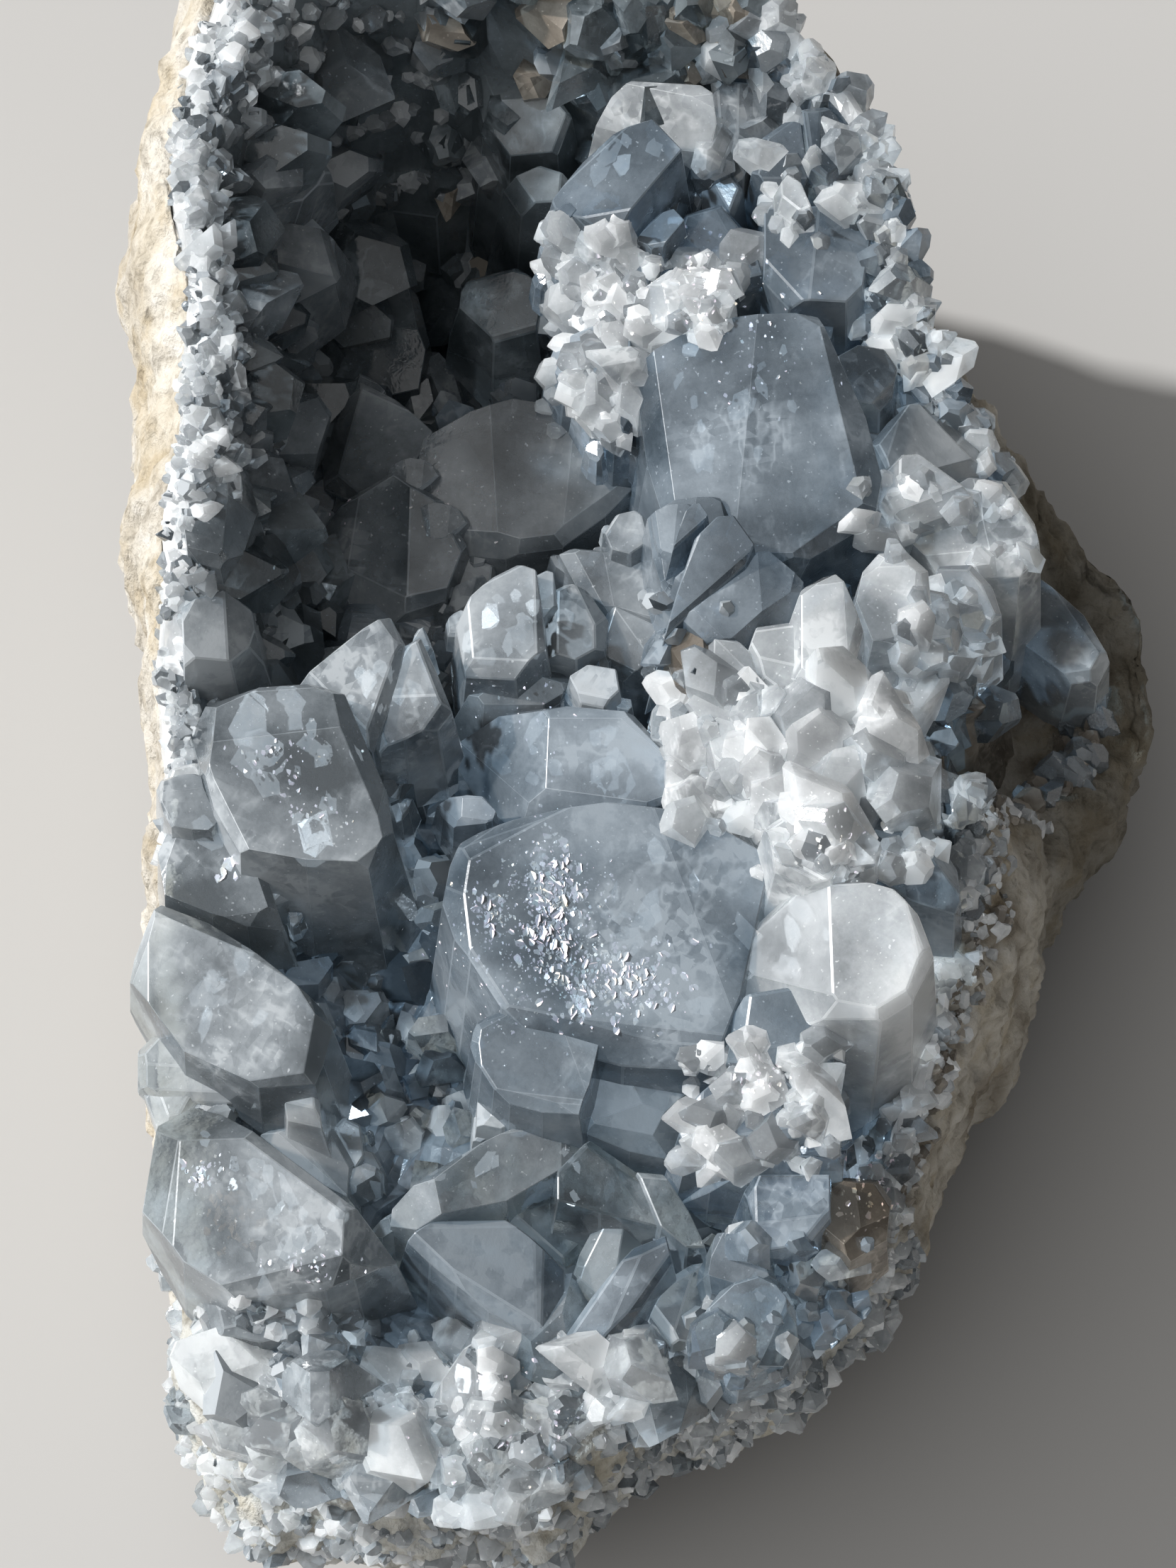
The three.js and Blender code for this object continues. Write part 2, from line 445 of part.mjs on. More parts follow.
  pebble: { height: 45, lean: 200, tilt: 18, root: 18, edge: [[-6.1, 10.9], [-5.2, 11.5], [-4, 11.2],
    [-3.5, 10.7], [-4.8, 10], [-5.6, 10.2]] },
  greyfloor: { height: 42.5, lean: 265, tilt: 14, cuts: [[-3, 10.6, -1.8, 7.2, 20]], edge: [[-12, 6.4],
    [-8.4, 9.2], [-5, 10.2], [-2.4, 10.4], [-1.3, 9], [-2.4, 7.2], [-5, 5.6], [-9, 5.6]] },
  ball: { height: 45, lean: 240, tilt: 12, cuts: [[1.6, 21.4, 3, 23.6, 30], [4, 24, 5.6, 20.8, 30]], edge:
    [[1.4, 21.4], [2.4, 22.9], [4, 23.3], [5.2, 22.4], [5.4, 20.8], [3.6, 19.6], [2, 20]] },
  bluefloor: { height: 42.5, lean: 300, tilt: 12, cuts: [[1, 21.4, 2.4, 14, 12]], edge: [[-2.4, 19.8],
    [0.6, 21.2], [3, 20.4], [6.6, 20.4], [7.8, 17.6], [6.4, 13.4], [2, 14.6], [-1, 17.2]] },
  glassfloor: { height: 41.5, lean: 250, tilt: 16, cuts: [[2, 15.4, 5.4, 10.6, 14]], edge: [[0.8, 12],
    [1.8, 15.2], [5, 14.6], [6.6, 12.4], [5.6, 10], [3, 9.4], [1, 10.4]] },
  bridge: { height: 45.5, lean: 200, tilt: 12, edge: [[-1.6, 9.2], [0, 10.2], [2.4, 9.8], [2.7, 8],
    [1.4, 6.8], [-0.6, 7.2]] },
  // Middle left, in the shade of the rim
  shadehead: { height: 34.5, lean: 190, tilt: 16, cuts: [[-21.6, 25, -19, 35.4, 32],
    [-18, 35, -13, 30.4, 18]], edge: [[-19.4, 34.5], [-21.3, 32.2], [-22.6, 28], [-22.4, 25.6], [-20, 24.6],
    [-15, 26.4], [-13, 29.8], [-16.4, 33]] },
  shadeplate: { height: 38.5, lean: 240, tilt: 12, root: 18, cuts: [[-8.4, 33, -7.6, 20, 9],
    [-1, 32.6, -2.2, 21, 9]], edge: [[-14, 29.4], [-10, 31.7], [-6.4, 32.8], [-1, 32], [2.6, 30],
    [4.8, 26.4], [1.4, 23.2], [-2.2, 20.6], [-7, 20], [-11, 20.4], [-15, 25]] },
  shadewedge: { height: 36.5, lean: 205, tilt: 20, cuts: [[-19.2, 26, -20.8, 16, 14],
    [-15, 27, -15.4, 14.6, 12]], edge: [[-24.8, 18.7], [-20.3, 24.6], [-16.5, 26.9], [-12.4, 24.4],
    [-10.4, 20.6], [-12.2, 16], [-16.6, 14.6], [-20.9, 16.6]] },
  shadefoot: { height: 34, lean: 280, tilt: 16, cuts: [[-14, 20, -8.6, 19, 14]], edge: [[-15, 19],
    [-12, 21], [-8, 19.4], [-7.8, 16.4], [-10.8, 13.6], [-14.8, 13], [-16.4, 15.2]] },
  // Left: the blades and the box-shaped crystal
  leftleaf: { height: 48.5, lean: 240, tilt: 14, cuts: [[-16.9, 15, -16.4, 8.6, 24]], edge: [[-25, 8.6],
    [-21.6, 11.3], [-19.4, 13.1], [-16.9, 14.6], [-15.6, 12], [-16.4, 9], [-18.4, 3.4], [-20.8, 4.4]] },
  rightleaf: { height: 47.5, lean: 220, tilt: 18, cuts: [[-13.9, 13, -12.4, 7.4, 26],
    [-17.6, 7.4, -12, 7.6, 10]], edge: [[-16.6, 10.4], [-15.6, 12], [-14.1, 12.8], [-13, 10], [-11.5, 6.8],
    [-13.2, 4.7], [-15.6, 3.8], [-17.6, 2.8], [-18.2, 4.4]] },
  box: { height: 50, lean: 262, tilt: 7, root: 22, cuts: [[-20.6, 9, -17.2, -3.4, 42],
    [-33.4, 3.4, -20, 5, 11], [-32.6, 2.8, -30, -5, 26]], edge: [[-33.7, 6.6],
    [-32.4, 7.9], [-29, 8.3], [-23, 8.7], [-20.8, 8], [-17.2, -0.4], [-16.7, -3.6], [-18.8, -6.6],
    [-24, -6.4], [-29.6, -5.4], [-31.8, -1.6], [-33, 2.4]] },
  lowclear: { height: 39, lean: 200, tilt: 22, edge: [[-18.4, 2.6], [-16, 3.6], [-13.8, 3.5], [-14.6, 0.8],
    [-16, -1], [-17.2, -0.9]] },
  darkbox: { height: 44.5, lean: 255, tilt: 8, cuts: [[-31, -1.6, -27.6, -8.4, 10],
    [-35.6, -2, -36, -10, 24]], edge: [[-36.6, -5.6], [-35.2, -2.6], [-32.6, -0.8], [-29.6, -3],
    [-27.4, -7.6], [-26.2, -11.4], [-29, -11.8], [-32, -11], [-36, -9.4]] },
  sparklebox: { height: 42.5, lean: 250, tilt: 14, cuts: [[-26, -4.6, -25.4, -9.2, 22]], edge: [[-29.2, -5],
    [-24, -5.2], [-23.2, -8.6], [-25.4, -9.4], [-26.6, -11.8], [-28.4, -9.4]] },
  // Middle: the two largest crystals
  ridge: { height: 45.5, lean: 205, tilt: 16, root: 20, cuts: [[-3.3, 6.6, -3.7, -3, 27],
    [-1.4, 9.2, 6, 2.8, 9], [-12.6, 5.6, -3.6, 5.6, 24]], edge: [[-13, 4.9], [-10.3, 6.1], [-6.3, 6.6],
    [-2.4, 8.4], [1.6, 9.2], [5.4, 4.4], [8, 1.4], [6.6, -1.4], [4.4, -2.2], [-6.2, -3.3], [-9.7, -0.2]] },
  heart: { height: 50, lean: 250, tilt: 6, root: 24, cuts: [[-5.6, -4, -10.4, -6.6, 30],
    [-10.4, -6, -11.2, -12, 34], [-10.6, -13, -6.4, -19.4, 30], [-8, -19, 12.6, -21.4, 20],
    [5.6, -2.2, 12.8, -21, 5]], edge: [[-6.3, -2.9], [-9.2, -3.9], [-10.8, -4.8], [-11.7, -6.6],
    [-12.3, -9.6], [-11.3, -12.6], [-10, -15], [-7.4, -19], [-4, -21.6], [3, -23.4], [11.8, -24.2],
    [13, -18], [16.8, -8.8], [16.4, -6.6], [9, -2.4], [1.6, -1.5]] },
  roundcube: { height: 43, lean: 215, tilt: 12, cuts: [[-8.8, -22.4, -4, -21, 24],
    [-3.2, -21.4, -2.8, -27, 26]], edge: [[-9.3, -26.4], [-9, -22.4], [-7.4, -20.9], [-4.2, -20.9],
    [-2.7, -22.6], [-2.5, -25.4], [-3.4, -27.6], [-7.4, -29], [-9.4, -28.6]] },
  undercut: { height: 43, lean: 260, tilt: 14, cuts: [[0.6, -28.6, 9, -25.6, 10], [3, -24, 6.6, -31, 10]],
    edge: [[-1.2, -27], [-0.6, -25], [1.2, -23.6], [9.4, -25], [9.2, -27.4], [6.6, -31.2], [3.6, -30.6],
    [0, -29.4]] },
  // Middle, near: the crystal with the re-entrant notch
  upperlobe: { height: 42.5, lean: 335, tilt: 17, cuts: [[-10.6, -30.2, -2.2, -29, 46],
    [-2.3, -28, -2.3, -33, 12]], edge: [[-16.6, -36], [-16.4, -34.2], [-14, -33], [-10, -29.8],
    [-3.4, -27.4], [-2.4, -27], [-1.6, -27.8], [0, -29.9], [-2.2, -32.7], [-7, -35.5], [-10.6, -36.2],
    [-14.6, -37]] },
  lowerlobe: { height: 40.5, lean: 325, tilt: 17, cuts: [[-4.6, -38, -4.4, -46.6, 9]], edge:
    [[-15.3, -38.5], [-13.2, -37], [-7, -36.9], [-5, -38.4], [-2.1, -41], [-2.2, -45], [-2.6, -47],
    [-5, -46.6], [-8.5, -44.4], [-11.2, -42.2], [-13.4, -40.3]] },
  notchwing: { height: 42, lean: 350, tilt: 24, cuts: [[0, -29.6, 5.6, -38, 8]], edge: [[-2.6, -29.4],
    [0, -29.9], [4.2, -32.8], [6.4, -37.8], [1, -36.4], [-4.6, -34.8], [-2.6, -32.8]] },
  notchwall: { height: 36.5, lean: 10, tilt: 34, edge: [[-7, -35.6], [-4.6, -34.9], [1.4, -36.4], [0, -39],
    [-2.1, -41], [-5, -38.4], [-7, -36.9]] },
  sideblade: { height: 40, lean: 15, tilt: 28, edge: [[4.2, -32.8], [6.4, -33], [8.6, -36.4], [10, -39.4],
    [8.4, -39.4], [6.2, -37.6]] },
  stripes: { height: 37.5, lean: 250, tilt: 22, cuts: [[0.4, -37, -0.8, -43, 16]], edge: [[-1.6, -42.6],
    [-0.6, -39.6], [1, -36.6], [5.6, -38.2], [3.4, -40.6], [0.6, -44]] },
  paleface: { height: 41, lean: 205, tilt: 22, root: 20, cuts: [[5.4, -38, 1.6, -46.6, 14]], edge:
    [[-2.3, -46.6], [0.4, -43.4], [3, -39.6], [6.6, -38.2], [7.2, -40.6], [4.8, -44], [3, -46.6],
    [0.6, -49], [-2.2, -49.4]] },
  fold: { height: 39, lean: 255, tilt: 16, cuts: [[4.4, -46.4, 4.2, -50.4, 14]], edge: [[2.4, -46.9],
    [4.4, -46.8], [6.6, -47.4], [6.5, -48.8], [4.2, -50.2], [2.2, -51], [1.5, -49]] },
  darkstripes: { height: 38, lean: 15, tilt: 26, cuts: [[9.4, -40, 7.2, -47, 18]], edge: [[9.9, -40],
    [10.2, -43], [8.4, -47.4], [7.2, -47.2], [5.4, -44.8], [7, -41.8]] },
  darkfoot: { height: 33.5, lean: 340, tilt: 26, edge: [[0, -52.6], [2.2, -51], [3.6, -53], [4.6, -55.6],
    [3.4, -56.8], [0.8, -56.2]] },
  // Right, near: the white tip and the crystals below it
  whitetip: { height: 55, lean: 200, tilt: 20, root: 22, cuts: [[20.4, -7, 20.9, -20, 17],
    [27, -9.6, 28.6, -17.6, 24]], edge: [[10.8, -14.7], [13, -12.7], [17.8, -8], [22, -7.8], [26, -8.9],
    [28.1, -11], [29.4, -14.4], [27.6, -18], [25, -19.6], [19, -19.6], [14, -18.3]] },
  palelower: { height: 50.5, lean: 245, tilt: 12, cuts: [[13.4, -22.6, 21.6, -21.6, 14]], edge: [[12, -23],
    [12.6, -19], [13.4, -17.8], [17, -17.2], [19.4, -18.6], [21.6, -21.5], [20.6, -23.7], [16.8, -24.3],
    [13.4, -24.1]] },
  glitter: { height: 48.5, lean: 250, tilt: 14, cuts: [[9.8, -25.2, 9.4, -31, 24],
    [12, -30, 20.4, -28.6, 16]], edge: [[7.4, -30.4], [9.2, -26.6], [11.8, -24.4], [16.6, -24.2],
    [20.6, -25.8], [21.5, -27.8], [19.6, -29.6], [12.6, -31.4], [7.4, -31.2]] },
  longwedge: { height: 46.5, lean: 260, tilt: 10, cuts: [[12, -32.6, 21.6, -30.4, 14]], edge: [[6.9, -31],
    [12.4, -31], [17.4, -29.4], [21.6, -29], [22, -30.2], [21.6, -33.2], [14.2, -33.6], [10.6, -32.6]] },
  brightblock: { height: 45.5, lean: 235, tilt: 12, cuts: [[14.2, -33.4, 14.4, -39.6, 30],
    [14, -37.4, 20.4, -36.6, 12]], edge: [[13.2, -34.7], [14.2, -33.2], [20.6, -33.2], [20.6, -36.6],
    [18.6, -39.1], [14.6, -39.7], [14, -37]] },
  glintside: { height: 44, lean: 300, tilt: 12, cuts: [[22.6, -33, 23.4, -40, 14]], edge: [[20.2, -34.2],
    [22, -33.2], [24.6, -33.4], [25.8, -35.2], [25.4, -38.4], [22.4, -40.2], [19.8, -38]] },
  roundtop: { height: 43, lean: 245, tilt: 14, cuts: [[10.4, -40.4, 11.6, -38, 26]], edge: [[9.7, -40.2],
    [11, -38.2], [14, -38.1], [15.2, -39.8], [16.2, -42.4], [13.4, -43.6], [10.6, -42.8]] },
  bignear: { height: 42.5, lean: 250, tilt: 12, root: 18, cuts: [[16.6, -44.4, 14.6, -49.6, 22],
    [10.4, -44, 9.8, -50, 16]], edge: [[11.6, -42.4], [14.8, -41.4], [17.4, -42.6], [17.6, -44.6],
    [18.5, -45.8], [16.6, -49.2], [13, -49.9], [10.4, -48], [9.9, -45]] },
  darkbench: { height: 39.5, lean: 330, tilt: 12, edge: [[15.4, -39.6], [18, -39], [21.4, -40.6], [22, -44],
    [18.4, -44.8], [17, -42]] },
  nearplates: { height: 38, lean: 230, tilt: 16, cuts: [[18.6, -45.4, 23.4, -43.8, 16]], edge:
    [[17.8, -44.4], [20, -43.6], [23.8, -43], [24.2, -44.4], [21.6, -47], [19.4, -47.4]] },
  darkblue: { height: 37.5, lean: 350, tilt: 15, cuts: [[4.8, -49.4, 5.4, -56.6, 26],
    [8.2, -48.4, 8.8, -57, 10]], edge: [[2.3, -51], [5, -49.6], [7.2, -47.6], [10.3, -50.2], [10.2, -52.8],
    [8.7, -56.6], [5.8, -57], [4.4, -55]] },
  nearchip: { height: 33, lean: 250, tilt: 28, edge: [[10.2, -51.6], [12.8, -51.8], [13.6, -53.6],
    [12, -55.8], [9.4, -55.2]] },
  // Left, near: the plate on the rim, the pointed wedge and the broken white edge
  rimplate: { height: 44.5, lean: 228, tilt: 11, root: 18, cuts: [[-24.6, -17.4, -22.6, -20.6, 40],
    [-22.8, -19.6, -23.8, -25.6, 38], [-36.6, -11.4, -31.6, -11.8, 24], [-37.4, -12, -37.4, -19, 30]], edge:
    [[-36.4, -9.8], [-32.6, -11], [-29, -13.6], [-22.6, -19], [-21.8, -20.6], [-22.6, -23.6],
    [-23.3, -25.3], [-28, -25.6], [-34.6, -22.6], [-36.4, -20], [-39, -17], [-38.6, -14.6], [-37.4, -11.4]]
    },
  rimblades: { height: 39.5, lean: 235, tilt: 14, cuts: [[-37.6, -23.8, -28, -24.4, 16]], edge:
    [[-38.3, -22], [-36.4, -20.2], [-33, -21.6], [-26, -23.6], [-23.6, -25.4], [-26, -27], [-36, -26.6],
    [-38.3, -25.2]] },
  rimstep: { height: 37.5, lean: 215, tilt: 14, edge: [[-37.8, -25.8], [-35.4, -24.8], [-33, -26.2],
    [-34.4, -28.6], [-36.6, -29]] },
  whitechip: { height: 41, lean: 200, tilt: 20, edge: [[-26, -26.2], [-24.4, -25], [-23, -25.9],
    [-22.8, -28.6], [-25.6, -28]] },
  arrow: { height: 45, lean: 235, tilt: 8, root: 20, cuts: [[-28.8, -43.4, -17, -38.6, 26],
    [-30, -28.8, -17.6, -37.8, 26], [-34.4, -26, -35.4, -41, 26]], edge: [[-34, -26], [-31.6, -27],
    [-28.4, -29.4], [-20, -35.6], [-17.1, -39], [-20, -41.5], [-22.4, -42.7], [-30, -43.4], [-34.4, -40.6],
    [-37.9, -36.2], [-36.6, -28.6]] },
  oliveback: { height: 35, lean: 20, tilt: 22, cuts: [[-26.4, -28.4, -20.6, -35, 10]], edge:
    [[-27.8, -29.6], [-25, -28.3], [-21.6, -29.2], [-19.4, -33], [-19.6, -35.6], [-24, -33]] },
  olivebead: { height: 33.5, lean: 210, tilt: 14, edge: [[-22, -29.4], [-20.8, -28.2], [-19.4, -28.9],
    [-19.1, -31.6], [-20, -33], [-21.6, -31.6]] },
  underarrow: { height: 40, lean: 225, tilt: 16, cuts: [[-31, -44.6, -21.6, -43.4, 16]], edge:
    [[-32.8, -43.6], [-30, -42.6], [-23, -42], [-21.2, -43.6], [-23.4, -46], [-28, -47], [-31.8, -46.6]] },
  hexagon: { height: 38.5, lean: 215, tilt: 12, cuts: [[-26.6, -51, -21, -51.8, 24]], edge: [[-26.8, -49],
    [-24.6, -47], [-22.6, -48], [-21.4, -50.2], [-21.3, -51.8], [-24, -53], [-26.6, -52.2]] },
  greyfoot: { height: 34.5, lean: 245, tilt: 26, cuts: [[-26, -52, -25.6, -60, 12]], edge: [[-28.4, -54],
    [-26, -52.2], [-23.4, -52.8], [-22.8, -56.4], [-24, -59.8], [-26, -60.2], [-28.6, -57.6]] },
  whiteslab: { height: 34, lean: 215, tilt: 30, edge: [[-33.2, -55.4], [-31, -51.8], [-29, -51.4],
    [-28.8, -54.6], [-31.4, -56.8]] },
  whitemass: { height: 37, lean: 225, tilt: 30, root: 18, cuts: [[-12.8, -54, -8.6, -61.6, 16],
    [-9.6, -48, -9, -62, 18]], edge: [[-14, -53], [-10.6, -48], [-8.6, -46.8], [-7.4, -48], [-7, -53],
    [-7.2, -59.6], [-11, -62.4], [-15, -60.4]] },
  // The deep hollow at the far left, and the clear crystals along its rim
  deepround: { height: 34, lean: 250, tilt: 18, cuts: [[-14, 62, -14.6, 50, 14]], edge: [[-19, 52.6],
    [-17.4, 50.6], [-13, 50], [-10, 52], [-9.4, 56], [-10.6, 60], [-13.4, 61.8], [-17, 61]] },
  deeptip: { height: 46, lean: 215, tilt: 24, root: 20, cuts: [[-10, 58, -1.6, 58.4, 16]], edge:
    [[-9.8, 60.8], [-9.2, 62.3], [-6.4, 61.9], [-3.6, 60], [-1.4, 57], [-2.6, 53.8], [-6.6, 53.4],
    [-8.8, 56.4]] },
  deepchip: { height: 44, lean: 200, tilt: 20, root: 26, edge: [[-7, 51.4], [-4, 52.7], [-1.8, 52],
    [-2, 49.6], [-5.6, 49.4]] },
  deepbead: { height: 41, lean: 200, tilt: 22, edge: [[-11.4, 41], [-10, 43.2], [-6, 44.2], [-3.6, 42],
    [-4.4, 38.8], [-8, 37.8]] },
  deeplong: { height: 26, lean: 250, tilt: 14, cuts: [[-28, 40, -14, 38.6, 16]], edge: [[-28, 41],
    [-22, 44.2], [-18, 43.8], [-14.6, 42], [-13.6, 38], [-14.4, 33.6], [-18, 32.8], [-24.6, 36]] },
  rimclear: { height: 53, lean: 335, tilt: 34, edge: [[-29.4, 51], [-26.4, 54.8], [-23.4, 54.6],
    [-22, 52.6], [-23.6, 49.8], [-28, 49]] },
  rimglass: { height: 48, lean: 335, tilt: 36, cuts: [[-25, 50, -26, 43, 12]], edge: [[-30.4, 48],
    [-28, 50], [-24, 49.4], [-21.2, 47.4], [-22, 44.6], [-25.4, 43.6], [-30.4, 44.4]] },
  leftglass: { height: 56, lean: 335, tilt: 22, root: 18, cuts: [[-30.4, 32, -29.8, 19.4, 26],
    [-34.6, 27, -28, 26, 10]], edge: [[-33.8, 31.2], [-32, 32.4], [-30, 31.2], [-28.6, 29.6], [-28.4, 24],
    [-29.6, 20.4], [-31.4, 18.8], [-34, 19.4], [-34.8, 25]] },
  leftbead: { height: 51, lean: 320, tilt: 20, cuts: [[-31, 17, -30.6, 10, 22]], edge: [[-34.6, 15.4],
    [-31, 16.6], [-28.6, 14.8], [-28.2, 12.2], [-30.4, 10.4], [-34.4, 10.8]] },
  leftbeads: { height: 45, lean: 300, tilt: 18, edge: [[-36.4, -1], [-35.6, 1.4], [-33.2, 2], [-32, 0.2],
    [-33.2, -1.8], [-35.6, -2.6]] },
  whiteleft: { height: 34.5, lean: 235, tilt: 34, root: 16, cuts: [[-18, -51, -17, -60, 18]], edge:
    [[-20.4, -55], [-18.6, -51.6], [-15.2, -50.8], [-14, -54], [-14.8, -59.6], [-18.4, -60.6],
    [-20.2, -58.6]] },
  darkbead: { height: 35, lean: 300, tilt: 20, edge: [[-7.2, -48.2], [-5.4, -46.8], [-4, -48], [-3.8, -50],
    [-6.8, -50.6]] },
};

// The crust: small crystals, each a short rhombic prism with a slanting tip

function smallCrystal(place, grow, size, spin, long = 1) {
  const frame = new THREE.Matrix4().lookAt(vector(0, 0, 0), grow.clone().negate(), vector(0.31, 0.17, 0.93));
  frame.multiply(new THREE.Matrix4().makeRotationZ(spin));
  const plane = (x, y, z, reach) => {
    const normal = vector(x, y, z).transformDirection(frame);
    return planeThrough(place.clone().addScaledVector(normal, reach * size), normal);
  };
  const rhombus = radians(41);
  const sides = [[1, 1], [1, -1], [-1, -1], [-1, 1]].map(([x, y]) => plane(
    x * Math.sin(rhombus), y * Math.cos(rhombus), 0, 0.42));
  return cutStone([...sides, plane(0.45, 0.1, 0.88, 0.5 * long), plane(0, 0, -1, 0.6)]);
}

// Patches of small crystals as they lie on the sheet: from, to, height, how many, size
const PATCHES = [
  [[-27, -26], [-15, -8], 30, 8, [5.5, 7.5]],
  [[-16, -34], [-5, -28], 32, 3, [5, 6]],
  [[-27, 8], [-20, 17], 28, 2, [5, 6]],
  [[-34, -52], [-28, -46], 34, 4, [5, 7]],
  [[-23, -50], [-11, -43], 32, 4, [6, 8]],
  [[-30, -60], [-1, -54], 33, 7, [5.5, 8]],
  [[12, -50], [24, -43], 34, 3, [5, 7]],
];

function patchCrystals() {
  const draw = chance(23);
  return PATCHES.flatMap(([from, to, height, count, sizes]) => Array.from({ length: count }, () => {
    const place = spot(draw(from[0], to[0]), draw(from[1], to[1]), height + draw(-2, 2));
    const grow = vector(draw(-0.6, 0.5), draw(-0.6, 0.4), draw(0.6, 1)).normalize();
    return smallCrystal(place, grow, draw(...sizes), draw(0, 6.3), draw(0.9, 1.3));
  }));
}

// Coarse sugar of crystals along the rim: degrees from, degrees to, how many, size
const RIM_BANDS = [
  [60, 84, 3, [4, 5]],
  [112, 172, 14, [3.8, 5]],
  [172, 212, 4, [3.4, 4.2]],
  [236, 300, 4, [4, 5]],
  [306, 340, 2, [4, 5]],
];

function rimCrystals() {
  const draw = chance(5);
  return RIM_BANDS.flatMap(([from, to, count, sizes]) => Array.from({ length: count }, (unused, i) => {
    const degrees = from + (to - from) * (i + draw(0.1, 0.9)) / count;
    const side = Math.floor(degrees / (360 / SIDES));
    const along = degrees / (360 / SIDES) - side;
    const deep = i % 2;
    const climb = deep ? draw(0.72, 0.88) : 0.985;
    const ring = liningRing(deep ? draw(0.87, 0.92) : draw(0.93, 0.965), climb, -0.4);
    const place = ring[side].clone().lerp(ring[(side + 1) % SIDES], along);
    const lean = deep ? draw(0.5, 1.2) : draw(-0.1, 0.6);
    const inward = vector(-place.x, -place.y, 0).normalize().multiplyScalar(lean);
    return smallCrystal(place, inward.setZ(1).normalize(), draw(...sizes), draw(0, 6.3));
  }));
}

// What the crust may fill: nothing hangs outside the shell below its rim
function mould() {
  const ring = (makeReach, makeHeight) => outlineRing.map((wide, side) => {
    const degrees = (side / SIDES) * 360;
    const reach = Math.hypot(wide.x, wide.y);
    const rim = byDirection(RIM, 1, degrees);
    const out = vector(wide.x, wide.y, 0).normalize();
    return out.multiplyScalar(makeReach(reach, reach - byDirection(RIM, 2, degrees))).setZ(makeHeight(rim));
  });
  return solidOf(ringStack([
    [vector(0, 0, 100)],
    ring((wide) => wide + MAX_OVERHANG, () => 100), ring((wide) => wide + MAX_OVERHANG, (rim) => rim + 3),
    ring((wide) => wide - 0.5, (rim) => rim - 1.5), ring((wide, rim) => rim * 0.985, (rim) => rim - 5),
    ring((wide) => wide * 0.92, (rim) => rim * 0.4),
    ring((wide) => wide * 0.8, () => 7), ring((wide) => wide * 0.6, () => 3),
    [vector(0, 0, 3)],
  ]));
}

function crustSolid() {
  let crust = solidOf(liningGeometry);
  const drawn = Object.values(LARGE_CRYSTALS).map(drawnCrystal);
  for (const stone of [...drawn, ...patchCrystals(), ...rimCrystals()]) {
    crust = crust.add(solidOf(stone));
  }
  crust = crust.intersect(mould()).subtract(solidOf(grown(shellGeometry, CRUST_GAP))).simplify(FINEST);
  const bodies = crust.decompose();
  return bodies.reduce((largest, body) => (body.volume() > largest.volume() ? body : largest));
}

// The model

const rockMaterial = new THREE.MeshStandardMaterial({ color: 0xe4dccb, roughness: 0.9, metalness: 0 });
const crystalMaterial = new THREE.MeshStandardMaterial({ color: 0xaebcc6, roughness: 0.15, metalness: 0 });

const rind = new THREE.Mesh(shellGeometry, rockMaterial);
rind.name = 'rind';
const crust = new THREE.Mesh(geometryOf(crustSolid()), crystalMaterial);
crust.name = 'crystal_crust';

const geode = new THREE.Group();
geode.add(rind, crust);

export default geode;
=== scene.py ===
import itertools
import math
import random

import bmesh
import bpy
import numpy as np
from mathutils import Matrix, Vector, noise
from mathutils.bvhtree import BVHTree


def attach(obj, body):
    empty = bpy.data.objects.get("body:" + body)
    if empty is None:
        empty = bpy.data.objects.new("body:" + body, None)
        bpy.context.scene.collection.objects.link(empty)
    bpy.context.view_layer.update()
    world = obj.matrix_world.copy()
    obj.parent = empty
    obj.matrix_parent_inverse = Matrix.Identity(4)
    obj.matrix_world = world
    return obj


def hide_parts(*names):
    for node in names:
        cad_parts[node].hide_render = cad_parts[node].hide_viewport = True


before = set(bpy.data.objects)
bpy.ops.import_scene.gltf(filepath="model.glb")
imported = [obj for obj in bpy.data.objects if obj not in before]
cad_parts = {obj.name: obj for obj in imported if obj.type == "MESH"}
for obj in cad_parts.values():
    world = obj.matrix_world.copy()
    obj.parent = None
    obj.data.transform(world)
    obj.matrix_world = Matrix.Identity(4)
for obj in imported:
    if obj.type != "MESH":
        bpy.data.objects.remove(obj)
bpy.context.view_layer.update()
MM = 0.001


# Rock shell: fibrous cream limestone round the hollow, split open and lying on its back. Weathered and pitted
# outside, broken along the rim, iced with fine celestite at the near end, stained brown at the right and
# darkened there with painted shade.

# The sheet on which all outlines are drawn: its middle, how steeply it is looked down on and from how far
SHEET_MIDDLE = Vector((-4.05, -7.3, 35))
SIGHT_RISE = math.radians(65)
SIGHT_DISTANCE = 370.4
sheet_up = Vector((0, math.sin(SIGHT_RISE), math.cos(SIGHT_RISE)))
sheet_ahead = Vector((0, math.cos(SIGHT_RISE), -math.sin(SIGHT_RISE)))
eye = SHEET_MIDDLE - sheet_ahead * SIGHT_DISTANCE


def sight(across, up):
    """The line of sight through a place on the drawing sheet, across and up from its middle."""
    return SHEET_MIDDLE + Vector((across, 0, 0)) + sheet_up * up - eye


def spot(across, up, height):
    """The point at a given height that shows at a place on the sheet."""
    ray = sight(across, up)
    return eye + ray * ((height - eye.z) / ray.z)


def ease(value, low, high):
    """0 below low, 1 above high, and smooth between, for numbers or arrays."""
    share = np.clip((value - low) / (high - low), 0, 1)
    return share * share * (3 - 2 * share)


